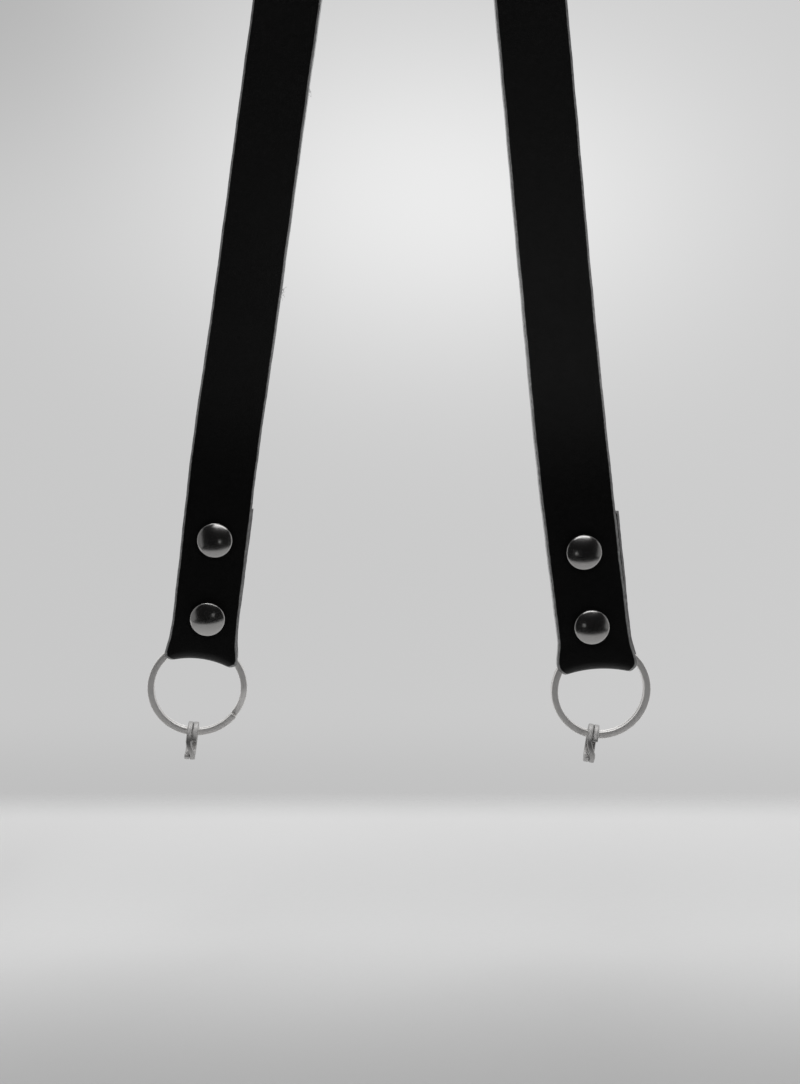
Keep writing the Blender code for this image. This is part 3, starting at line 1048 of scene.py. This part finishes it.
@dataclass(frozen=True)
class Band:
    """The leather band, modelled flat and then laid along its route."""

    surface: BandSurface
    sizes: StrapSizes = SIZES
    columns: int = 24
    column_swing: float = 62.0
    edge_segments: int = 4
    hole_radius: float = 0.0019
    cap_radius: float = 0.00455
    press_depth: float = 0.00010
    press_width: float = 0.0007
    edge_wander: float = 0.00007
    rim_width: float = 0.0010
    tab_step: float = 0.0008
    fold_step: float = 0.00028
    fold_bent: float = 0.3
    arm_step: float = 0.0021
    seat_step: float = 0.0008
    seat_reach: float = 0.030

    def build(self) -> Piece:
        """Models the band and lays it in place.

        Returns:
            The band's object.
        """
        holes = self._holes()
        band = self._flat_sheet()
        self._punch(band, holes)
        Workshop.apply(band, "SOLIDIFY", thickness=self.sizes.thickness, offset=0.0, use_even_offset=True)
        Workshop.apply(
            band, "BEVEL", width=self.sizes.edge_rounding, segments=self.edge_segments,
            limit_method="ANGLE", angle_limit=math.radians(60), profile=0.55,
        )
        self._lay(band, holes)
        Workshop.shade(band, 60.0)
        return band

    def dress(self, band: Piece, leather: Material) -> None:
        """Finishes the band."""
        Workshop.dress(band, leather, Slot.LEATHER, "strap_band")

    def _holes(self) -> Places:
        """Works out where the rivets go through the flat band.

        Returns:
            The flat length and the place across of each hole.
        """
        holes = []
        for hand, end in self.surface.ends.items():
            for level in Level:
                height = end.rivet_height(level)
                across = end.rivet_across(level) - end.form.shift * self.sizes.width
                for front, offset in ((True, across), (False, across - end.tab_lean(height))):
                    share = offset / end.half_width * hand.sign
                    length = self.surface.side_length(hand, height, front)
                    holes.append((length, share * self.sizes.width / 2))
        return holes

    @staticmethod
    def _away(points: np.ndarray, holes: Places) -> np.ndarray:
        """How far points of the flat band are from its holes, one row for each hole."""
        return np.linalg.norm(points - np.array(holes)[:, None], axis=2)

    def _row_places(self) -> np.ndarray:
        """Spaces the rows of the grid, close together where the band bends.

        Returns:
            The flat length of each row.
        """
        surface = self.surface
        left, right = (
            surface.ends[hand].tab_end * 2 + self.sizes.end_margin for hand in (Hand.LEFT, Hand.RIGHT)
        )
        places = [0.0]
        while places[-1] < surface.length:
            here = places[-1]
            if float(np.interp(here, surface.knots, surface.bent)) > self.fold_bent:
                step = self.fold_step
            elif here < left or here > surface.length - right:
                step = self.tab_step
            elif abs(here - surface.length / 2) < self.seat_reach:
                step = self.seat_step
            else:
                step = self.arm_step
            places.append(here + step)
        return np.array(places) * surface.length / places[-1]

    def _flat_sheet(self) -> Piece:
        """Makes a flat grid as long and as wide as the band, finer across near its edges.

        Returns:
            The grid's object.
        """
        rows = self._row_places()
        swing = np.linspace(-1.0, 1.0, self.columns + 1) * math.radians(self.column_swing)
        columns = self.sizes.width / 2 * np.sin(swing) / math.sin(math.radians(self.column_swing))
        Workshop.start()
        bpy.ops.mesh.primitive_grid_add(x_subdivisions=len(rows) - 1, y_subdivisions=self.columns, size=2.0)
        band = Workshop.named("leather_strap")
        points = (Workshop.points(band) + 1.0) / 2
        row = np.round(points[:, 0] * (len(rows) - 1)).astype(int)
        column = np.round(points[:, 1] * self.columns).astype(int)
        Workshop.move_points(band, np.column_stack([rows[row], columns[column], np.zeros(len(points))]))
        return band

    def _punch(self, band: Piece, holes: Places) -> None:
        """Removes the faces inside each rivet hole and rounds the hole.

        Args:
            band: the flat grid.
            holes: the places of the holes.
        """
        centres = Workshop.read(band.data.polygons, "center")[:, :2]
        Workshop.pick(band, "FACE", self._away(centres, holes).min(axis=0) < self.hole_radius)
        bpy.ops.mesh.delete(type="FACE")
        Workshop.done()
        points = Workshop.points(band)
        for hole in holes:
            offset = points[:, :2] - np.array(hole)
            distance = np.linalg.norm(offset, axis=1)
            near = distance < self.hole_radius * 1.25
            points[near, :2] = np.array(hole) + offset[near] * (self.hole_radius / distance[near])[:, None]
        Workshop.move_points(band, points)

    def _lay(self, band: Piece, holes: Places) -> None:
        """Notes each point's flat place, then lays the band along its route.

        Args:
            band: the flat band.
            holes: the places of its holes.
        """
        surface, sizes = self.surface, self.sizes
        flat = Workshop.points(band)
        along, across, through = flat.T
        half = sizes.width / 2
        to_edge = np.minimum(half - np.abs(across), np.minimum(along, surface.length - along))
        distances = self._away(flat[:, :2], holes)
        pressed = np.exp(-(((distances - self.cap_radius) / self.press_width) ** 2)).max(axis=0)
        Workshop.note(
            band, flat=flat, pressed=pressed, rim=1.0 - smooth_step(to_edge, 0.0, self.rim_width),
            grain_side=smooth_step(through / sizes.thickness, -0.28, 0.10),
            bent=np.interp(along, surface.knots, surface.bent),
        )
        hand = np.sign(across)
        wander = self.edge_wander * (
            np.sin(along * 410.0 + hand) * 0.5
            + np.sin(along * 1130.0 + 2.0 * hand) * 0.3
            + np.sin(along * 2710.0 + 5.0 * hand) * 0.2
        )
        side = across + hand * wander * smooth_step(np.abs(across), half * 0.7, half)
        thin = np.interp(along, surface.knots, surface.thickness) / sizes.thickness
        lift = through * thin - self.press_depth * pressed * (through > 0)
        points, normals = surface.at(along, -side / half)
        facing = np.where(side > 0.0, -1.0, 1.0)
        away = surface.at(along, facing)[0] - surface.at(along, facing * 0.98)[0]
        away *= (np.maximum(np.abs(side) - half, 0.0) / np.linalg.norm(away, axis=1))[:, None]
        Workshop.move_points(band, points + normals * lift[:, None] + away)


@dataclass(frozen=True)
class SplitRing:
    """A split ring, modelled as a straight bar of wire and then coiled twice round."""

    name: str
    sizes: RingSizes
    place: Matrix
    corner_segments: int = 4
    cuts: Tuple[int, int] = (15, 12)

    def build(self) -> Piece:
        """Models the wire and coils it.

        Returns:
            The ring's object.
        """
        sizes = self.sizes
        middle = (sizes.diameter - sizes.wire) / 2
        whole_turn = 2 * math.pi * (2 - 2 * sizes.jog_share)
        length = whole_turn * middle
        Workshop.start()
        bpy.ops.mesh.primitive_cube_add(size=1.0)
        ring = Workshop.named(self.name)
        bpy.ops.transform.resize(value=(length, sizes.wire, sizes.coil), center_override=(0.0, 0.0, 0.0))
        bpy.ops.object.transform_apply(location=True, rotation=True, scale=True)
        Workshop.edit(ring, "EDGE", "SELECT")
        bpy.ops.mesh.bevel(offset=sizes.rounding, segments=self.corner_segments, affect="EDGES")
        Workshop.done()
        for cuts in self.cuts:
            along = Workshop.points(ring)[:, 0]
            ends = np.array([edge.vertices for edge in ring.data.edges])
            Workshop.pick(ring, "EDGE", np.abs(np.diff(along[ends], axis=1))[:, 0] > length / 40)
            bpy.ops.mesh.subdivide(number_cuts=cuts)
            Workshop.done()
        self._coil(ring, middle, whole_turn / length)
        Workshop.shade(ring, 40.0)
        return ring

    def dress(self, ring: Piece, steel: Material, node: str) -> None:
        """Finishes the ring."""
        Workshop.dress(ring, steel, Slot.STEEL, node)

    def _coil(self, ring: Piece, middle: float, turn_per_metre: float) -> None:
        """Coils the straight wire twice round, with its step from one coil to the other at angle 0.

        Args:
            ring: the straight wire.
            middle: the radius of the wire's middle line.
            turn_per_metre: the angle that a metre of wire turns, in radians.
        """
        sizes = self.sizes
        flat = Workshop.points(ring)
        along, out, up = flat.T
        angle = -along * turn_per_metre
        crossing = np.clip(angle / (2 * math.pi * sizes.jog_share), -1.0, 1.0)
        level = (sizes.coil + sizes.gap) / 2 * np.sin(crossing * math.pi / 2) + up
        inner = np.where(np.sign(angle) > 0, -up, up) / (sizes.coil / 2)
        # seam marks the faces where the two coils touch, darkened by the finish as painted shade with some
        # grime.
        Workshop.note(ring, flat=flat, seam=smooth_step(inner, 0.45, 1.0) * (np.abs(crossing) > 0.99))
        radius = middle + out
        coiled = np.column_stack([radius * np.cos(angle), radius * np.sin(angle), level])
        Workshop.move_points(ring, placed(coiled, self.place))


class CapKind(Enum):
    """The two halves of a rivet."""

    FRONT = "cap"
    BACK = "back"

    @property
    def facing(self) -> int:
        """-1 for the half on the viewer's side and 1 for the one behind."""
        return -1 if self is CapKind.FRONT else 1


@dataclass(frozen=True)
class RivetHalf:
    """One half of a double-cap rivet, drawn up from a disc by its profile."""

    kind: CapKind
    post_length: float
    radius: float = 0.00455
    height: float = 0.0016
    post_radius: float = 0.0009
    shank_radius: float = 0.0016
    shank_wall: float = 0.0004
    shoulder: float = 0.00042
    shoulder_start: float = -35.0
    dome_angle: float = 25.0
    lip: float = 0.00026
    lip_radius: float = 0.00016
    pole_share: float = 0.012
    segments: int = 72
    dome_rings: int = 14
    shoulder_rings: int = 6
    lip_rings: int = 6

    def build(self, name: str, place: Matrix) -> Piece:
        """Models the half.

        Args:
            name: the piece's name.
            place: where its cap's underside sits, with z out of the cap.

        Returns:
            The half's object.
        """
        profile = self._stem() + self._lip_points() + self._dome_points()
        radius, height = profile[0]
        Workshop.start()
        bpy.ops.mesh.primitive_circle_add(
            vertices=self.segments, radius=radius, fill_type="NGON", location=(0.0, 0.0, height)
        )
        half = Workshop.named(name)
        bpy.ops.object.transform_apply(location=True, rotation=True, scale=True)
        Workshop.edit(half, "VERT", "SELECT")
        bpy.ops.mesh.flip_normals()
        for (before, low), (after, high) in zip(profile, profile[1:]):
            bpy.ops.mesh.extrude_region_move(TRANSFORM_OT_translate={"value": (0.0, 0.0, high - low)})
            share = after / before
            bpy.ops.transform.resize(value=(share, share, 1.0), center_override=(0.0, 0.0, high))
        bpy.ops.mesh.select_all(action="SELECT")
        bpy.ops.mesh.normals_make_consistent(inside=False)
        Workshop.done()
        self._note(half)
        half.data.transform(place)
        Workshop.shade(half, 35.0)
        return half

    def dress(self, half: Piece, nickel: Material, node: str) -> None:
        """Finishes the half."""
        Workshop.dress(half, nickel, Slot.NICKEL, node)

    def _stem(self) -> Places:
        """The outline of the post, or of the hollow shank from its blind bottom outwards.

        Returns:
            Its radii and heights.
        """
        length = self.post_length
        if self.kind is CapKind.FRONT:
            post, chamfer = self.post_radius, self.post_radius * 0.25
            return [(post - chamfer, -length), (post, -length + chamfer), (post, 0.0)]
        bore, shank = self.shank_radius - self.shank_wall, self.shank_radius
        return [(bore, 0.0), (bore, -length), (shank, -length), (shank, 0.0)]

    def _lip_points(self) -> Places:
        """The rolled lip that closes the cap down onto the leather.

        Returns:
            Its radii and heights.
        """
        outer = self.radius - self.shoulder / 2
        points = [(self.radius - self.shoulder - self.lip_radius, 0.0)]
        for i in range(1, self.lip_rings + 1):
            roll = math.sin(math.pi / 2 * i / self.lip_rings)
            points.append((outer - self.lip_radius * (1.0 - roll), -self.lip * roll))
        return points

    def _dome_points(self) -> Places:
        """The rounded shoulder and the dome, which flattens towards its middle.

        Returns:
            Their radii and heights.
        """
        dome_edge = self.radius - self.shoulder
        slope = math.radians(self.dome_angle)
        fall = math.tan(slope) * dome_edge / 2
        across = dome_edge - self.shoulder * math.sin(slope)
        up = self.height - fall - self.shoulder * math.cos(slope)
        start = math.radians(self.shoulder_start)
        points = []
        for i in range(self.shoulder_rings):
            angle = start + (math.pi / 2 - slope - start) * i / self.shoulder_rings
            points.append((across + self.shoulder * math.cos(angle), up + self.shoulder * math.sin(angle)))
        shares = np.linspace(1.0, 0.0, self.dome_rings + 1)[:-1]
        points += [(dome_edge * share, self.height - fall * share**2) for share in shares]
        points.append((dome_edge * self.pole_share, self.height))
        widest = max(radius for radius, _ in points)
        return [(radius * self.radius / widest, height) for radius, height in points]

    def _note(self, half: Piece) -> None:
        """Notes a flat place for the finish, and where the finish is darkened under the rim, as painted
        shade with some grime.

        Args:
            half: the half's object, not yet placed.
        """
        points = Workshop.points(half)
        outer = np.linalg.norm(points[:, :2], axis=1) > self.radius * 0.6
        Workshop.note(half, flat=points, seam=smooth_step(-points[:, 2], -0.00022, 0.00010) * outer)


@dataclass(frozen=True)
class End:
    """One end of the strap: its two rings and its two rivets, which sit a few degrees askew."""

    route: EndRoute
    rivet_tilts: Dict[Level, Tuple[float, float]]

    def build(self, steel: Material, shaded_ring_steel: Material, nickel: Material) -> None:
        """Models and dresses the end's hard pieces.

        Args:
            steel: the big ring's material, brighter than the steel's own colour as painted light.
            shaded_ring_steel: the small ring's material.
            nickel: the rivets' material.
        """
        name, sizes = self.route.form.hand.value, self.route.sizes
        ring = SplitRing(f"key_ring_{name}", sizes.big_ring, self._ring_place())
        ring.dress(ring.build(), steel, f"big_ring_{name}")
        link = SplitRing(f"link_ring_{name}", sizes.small_ring, self._link_place())
        link.dress(link.build(), shaded_ring_steel, f"small_ring_{name}")
        for level in Level:
            for kind in CapKind:
                self._rivet_half(level, kind, nickel)

    def _ring_place(self) -> Matrix:
        """Where the big ring is, with z along its axis and its cross-over at x."""
        return self.route.matrix @ turned(-self.route.form.ring_jog, "Y") @ turned(90.0, "X")

    def _link_place(self) -> Matrix:
        """Where the small ring hangs on the big one.

        Returns:
            Its place, with z along its axis and its cross-over at x.
        """
        sizes, form = self.route.sizes, self.route.form
        link, ring = sizes.small_ring, sizes.big_ring
        hole = link.radius - link.wire - sizes.clearance
        passing = ring.depth / 2 + link.depth / 2 * math.tan(math.radians(abs(form.link_yaw)))
        hang = math.sqrt(hole**2 - passing**2)
        hung = self.route.matrix @ turned(form.slide, "Y")
        hung = hung @ Matrix.Translation((0.0, 0.0, -(ring.radius - ring.wire + hang)))
        return hung @ turned(form.link_yaw, "Z") @ turned(90.0, "Y") @ turned(form.link_jog, "Z")

    def _rivet_half(self, level: Level, kind: CapKind, nickel: Material) -> None:
        """Models and dresses one half of a rivet.

        Args:
            level: which rivet.
            kind: which of its halves.
            nickel: its material.
        """
        route = self.route
        nod, turn = self.rivet_tilts[level]
        height = route.rivet_height(level)
        proud = route.proud(height, RivetHalf.radius)
        half = RivetHalf(kind, 2 * proud - route.sizes.clearance)
        seat = Matrix.Translation((route.rivet_across(level), kind.facing * proud, height))
        askew = turned(nod, "X") @ turned(turn, "Z") @ turned(-90.0 * kind.facing, "X")
        which = f"{kind.value}_{route.form.hand.value}_{level.value}"
        built = half.build(f"rivet_dome_{which}", route.matrix @ seat @ askew)
        half.dress(built, nickel, f"rivet_{which}")


@dataclass(frozen=True)
class Tuft:
    """A tuft of fibres: its flat length, its place across, its number of strands and their reach."""

    along: float
    side: float
    count: int
    reach: float


@dataclass(frozen=True)
class Fibres:
    """Loose leather fibres that stand off the band's cut edge."""

    surface: BandSurface
    seed: int = 7
    thickness: float = 0.00005
    strand_points: int = 6
    arm_starts: int = 95
    arm_tufts: Tuple[Tuple[float, int, float], ...] = (
        (-0.3085, 7, 0.0011), (-0.4036, 9, 0.0015), (-0.3310, 3, 0.0007),
    )
    corner_count: int = 5
    corner_reach: float = 0.0007
    scatter: float = 0.0006
    spread: float = 0.0007
    root_depth: float = 0.0002
    lean: float = 0.9
    curl: float = 0.8
    shortest: float = 0.4
    lift: float = 0.3
    taper: float = 0.7

    def build(self) -> Piece:
        """Models all tufts as one piece.

        Returns:
            The fibres' object.
        """
        chance = np.random.default_rng(self.seed)
        curve = bpy.data.curves.new("edge_fibres", "CURVE")
        curve.dimensions = "3D"
        curve.bevel_depth = self.thickness
        curve.bevel_resolution = 1
        curve.use_fill_caps = True
        for tuft in self._tufts():
            for _ in range(tuft.count):
                self._strand(curve, chance, tuft)
        fibres = bpy.data.objects.new("edge_fibres", curve)
        bpy.context.scene.collection.objects.link(fibres)
        Workshop.take(fibres)
        bpy.ops.object.convert(target="MESH")
        fibres = bpy.context.object
        points = Workshop.points(fibres)
        # A rim of 0.6 gives the fibres part of the light edge colour, which is partly a painted rim
        # highlight.
        levels = {"grain_side": 0.4, "rim": 0.6, "bent": 0.0, "pressed": 0.0}
        Workshop.note(fibres, flat=points, **{name: np.full(len(points), at) for name, at in levels.items()})
        return fibres

    def dress(self, fibres: Piece, leather: Material) -> None:
        """Finishes the fibres."""
        Workshop.dress(fibres, leather, Slot.LEATHER)

    def _tufts(self) -> List[Tuft]:
        """Places tufts at some heights of the left arm and at the corners of the folds.

        Returns:
            The tufts, in the order in which their strands are drawn.
        """
        surface = self.surface
        tufts = []
        for height, count, reach in self.arm_tufts:
            cost = np.abs(surface.middle[:, 2] - height)
            cost[: self.arm_starts + 1] = 1.0
            tufts.append(Tuft(float(surface.knots[surface.nearest(Hand.LEFT, cost)]), 1.0, count, reach))
        for hand, end in surface.ends.items():
            low = surface.side_length(hand, end.form.corner * surface.sizes.big_ring.radius, False)
            tufts += [Tuft(low, side, self.corner_count, self.corner_reach) for side in (-1.0, 1.0)]
        return tufts

    def _strand(self, curve: bpy.types.Curve, chance: np.random.Generator, tuft: Tuft) -> None:
        """Adds one curled strand of a tuft to the curve.

        Args:
            curve: the curve that holds all strands.
            chance: the random draws.
            tuft: the strand's tuft.
        """
        start = tuft.along + chance.normal(0.0, self.scatter)
        places, grains = self.surface.at(
            np.array([start, start, start + 0.001]), np.array([1.0, 0.95, 1.0]) * tuft.side
        )
        root, inner, ahead = places
        grain = grains[0]
        out = (root - inner) / np.linalg.norm(root - inner)
        forward = (ahead - root) / np.linalg.norm(ahead - root)
        base = root + grain * chance.uniform(-self.spread, self.spread) - out * self.root_depth
        lean = chance.normal(0.0, self.lean)
        curl = chance.normal(0.0, self.curl)
        length = tuft.reach * chance.uniform(self.shortest, 1.0)
        spline = curve.splines.new("POLY")
        spline.points.add(self.strand_points - 1)
        for share, point in zip(np.linspace(0.0, 1.0, self.strand_points), spline.points):
            heading = out + forward * (lean + curl * share) + grain * self.lift * curl * share
            point.co = (*(base + length * share * heading), 1.0)
            point.radius = 1.0 - self.taper * share


@dataclass(frozen=True)
class Lamp:
    """A soft rectangular lamp that the camera doesn't see: its place, its aim, its sides and its power."""

    name: str
    place: Tuple[float, float, float]
    aim: Tuple[float, float, float]
    width: float
    length: float
    watts: float

    def build(self) -> None:
        """Makes the lamp."""
        data = bpy.data.lights.new(self.name, "AREA")
        data.shape = "RECTANGLE"
        data.size = self.width
        data.size_y = self.length
        data.energy = self.watts
        lamp = bpy.data.objects.new(self.name, data)
        lamp.location = self.place
        lamp.rotation_euler = (Vector(self.aim) - Vector(self.place)).to_track_quat("-Z", "Y").to_euler()
        lamp.visible_camera = False
        bpy.context.scene.collection.objects.link(lamp)


@dataclass(frozen=True)
class Studio:
    """The plain pale floor, the soft light of a tent with an opening for the viewer, and the camera."""

    camera_place: Tuple[float, float, float] = (-0.0064, -0.261, -0.430)
    focal_pixels: float = 1010.0
    picture_height: float = 1084.0
    sensor: float = 36.0
    floor_level: float = -0.5406
    floor_back: float = 0.190
    floor_front: float = -0.102
    floor_half_width: float = 1.10
    lamps: Tuple[Lamp, ...] = (
        Lamp("left_panel", (-0.140, -0.02, -0.440), (0.0, -0.02, -0.440), 0.22, 0.15, 0.022),
        Lamp("right_panel", (0.182, -0.02, -0.440), (0.0, -0.02, -0.440), 0.22, 0.15, 0.022),
        Lamp("top_panel", (0.035, -0.145, -0.328), (0.035, 0.0, -0.455), 0.16, 0.05, 0.044),
        Lamp("overhead", (0.02, 0.06, 0.40), (0.0, 0.08, -0.5406), 0.9, 0.5, 3.0),
        Lamp("glint", (-0.002, -0.125, -0.476), (0.0, 0.0, -0.44), 0.016, 0.016, 0.00040),
    )

    def build(self) -> None:
        """Makes the stage."""
        self._camera()
        self._floor()
        self._world()
        for lamp in self.lamps:
            lamp.build()
        bpy.context.scene.view_settings.view_transform = "Standard"
        bpy.context.scene.view_settings.look = "None"

    def _camera(self) -> None:
        """The camera, level and straight on, as the photograph was taken."""
        data = bpy.data.cameras.new("camera")
        data.sensor_width = self.sensor
        data.lens = self.focal_pixels / self.picture_height * self.sensor
        data.clip_start = 0.01
        data.clip_end = 20.0
        camera = bpy.data.objects.new("camera", data)
        camera.location = self.camera_place
        camera.rotation_euler = (math.pi / 2, 0.0, 0.0)
        bpy.context.scene.collection.objects.link(camera)
        bpy.context.scene.camera = camera

    def _floor(self) -> None:
        """A pale table top."""
        Workshop.start()
        bpy.ops.mesh.primitive_plane_add(size=1.0)
        floor = Workshop.named("floor")
        sides = (2 * self.floor_half_width, self.floor_back - self.floor_front, 1.0)
        bpy.ops.transform.resize(value=sides, center_override=(0.0, 0.0, 0.0))
        middle = (self.floor_back + self.floor_front) / 2
        bpy.ops.transform.translate(value=(0.0, middle, self.floor_level))
        bpy.ops.object.transform_apply(location=True, rotation=True, scale=True)
        floor.data.materials.append(FloorFinish().material())

    def _world(self) -> None:
        """A pale backdrop for the camera, and for all else the room that lights the strap."""
        world = bpy.data.worlds.new("studio")
        bpy.context.scene.world = world
        world.use_nodes = True
        graph = Graph(world.node_tree)
        direction = graph.make("ShaderNodeTexCoord", output="Generated")
        parts = graph.node("ShaderNodeSeparateXYZ", None, {"Vector": direction})
        sideways, depth, height = (Signal(graph, socket) for socket in parts.outputs)
        room = self._room(sideways, depth, height)
        seen = graph.make("ShaderNodeLightPath", output="Is Camera Ray")
        level = room + (self._backdrop(sideways, depth, height) - room) * seen
        shader = graph.make("ShaderNodeBackground", None, {"Color": opaque(1.0), "Strength": level})
        graph.node("ShaderNodeOutputWorld", None, {"Surface": shader})

    @staticmethod
    def _backdrop(sideways: Signal, depth: Signal, height: Signal) -> Signal:
        """What the camera sees behind the strap: palest high in the middle, dimmer low and in a corner.

        Args:
            sideways: how far a direction points to the right.
            depth: how far it points away from the viewer.
            height: how far it points up.

        Returns:
            The brightness in that direction.
        """
        ahead = depth.eased(-0.2, 0.6)
        across = sideways / (depth.absolute() + 0.2) * 1.2
        up = height / (depth.absolute() + 0.2) * 1.2
        rise = (up - 0.34) / 0.17
        reach = (across - 0.04) / 0.28
        bright = depth.graph.math("EXPONENT", (rise * rise + reach * reach) * -1.0)
        corner = (across * -1.0).eased(0.12, 0.42) * up.eased(0.26, 0.56)
        low = (up * -1.0).eased(0.16, 0.25)
        return 0.592 + (0.238 * bright - 0.125 * corner - 0.055 * low) * ahead + 0.04 * sideways

    @staticmethod
    def _room(sideways: Signal, depth: Signal, height: Signal) -> Signal:
        """What lights the strap: bright behind and above, dark where the viewer stands.

        Args:
            sideways: how far a direction points to the right.
            depth: how far it points away from the viewer.
            height: how far it points up.

        Returns:
            The brightness in that direction.
        """
        toward = (depth * -1.0).eased(-0.12, 0.16)
        above = height.eased(0.42, 0.85)
        flank = (sideways.absolute() - 0.86).eased(-0.10, 0.12)
        open_side = 0.008 + 0.26 * above + 0.16 * flank
        behind = 0.60 + 0.22 * height.eased(0.1, 0.9)
        return behind + (open_side - behind) * toward


def main() -> None:
    """Builds the strap and its stage, and reports each piece."""
    logging.basicConfig(level=logging.INFO, format="%(name)s %(message)s")
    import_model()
    Studio().build()
    ends = {Hand.LEFT: EndRoute(LEFT_END), Hand.RIGHT: EndRoute(RIGHT_END)}
    arms = {
        Hand.LEFT: ArmRoute(ends[Hand.LEFT], LEFT_ARM),
        Hand.RIGHT: ArmRoute(ends[Hand.RIGHT], RIGHT_ARM),
    }
    surface = BandSurface(SIZES, ends, arms)
    LOG.info("flat length %.4f m", surface.length)
    leather = LeatherFinish().material()
    band = Band(surface)
    band.dress(band.build(), leather)
    fibres = Fibres(surface)
    fibres.dress(fibres.build(), leather)
    # The big rings' steel is brighter than the metal's own colour: painted light against the dark room in
    # front.
    steel = MetalFinish(
        name="ring_steel", bright=0.94, dull=0.84, roughness=0.56, spread=0.06,
        scratch_height=0.0000003, seam_shade_and_dirt=0.25,
    ).material()
    # The small rings take a darker copy of the same ring steel: painted shade against the lamps' reflections
    # on their tops.
    shaded_ring_steel = MetalFinish(
        name="shaded_ring_steel", bright=0.48, dull=0.40, roughness=0.50, spread=0.06,
        scratch_height=0.0000003, seam_shade_and_dirt=0.15,
    ).material()
    nickel = MetalFinish(
        name="nickel_plate", bright=0.54, dull=0.48, roughness=0.19, spread=0.03,
        scratch_height=0.0000007, stretch=(900.0, 900.0, 900.0),
    ).material()
    tilts = {
        Hand.LEFT: {Level.LOWER: (3.2, 0.0), Level.UPPER: (-1.0, 0.0)},
        Hand.RIGHT: {Level.LOWER: (-1.2, -3.0), Level.UPPER: (0.0, -3.0)},
    }
    for hand, route in ends.items():
        End(route, tilts[hand]).build(steel, shaded_ring_steel, nickel)


if __name__ == "__main__":
    main()
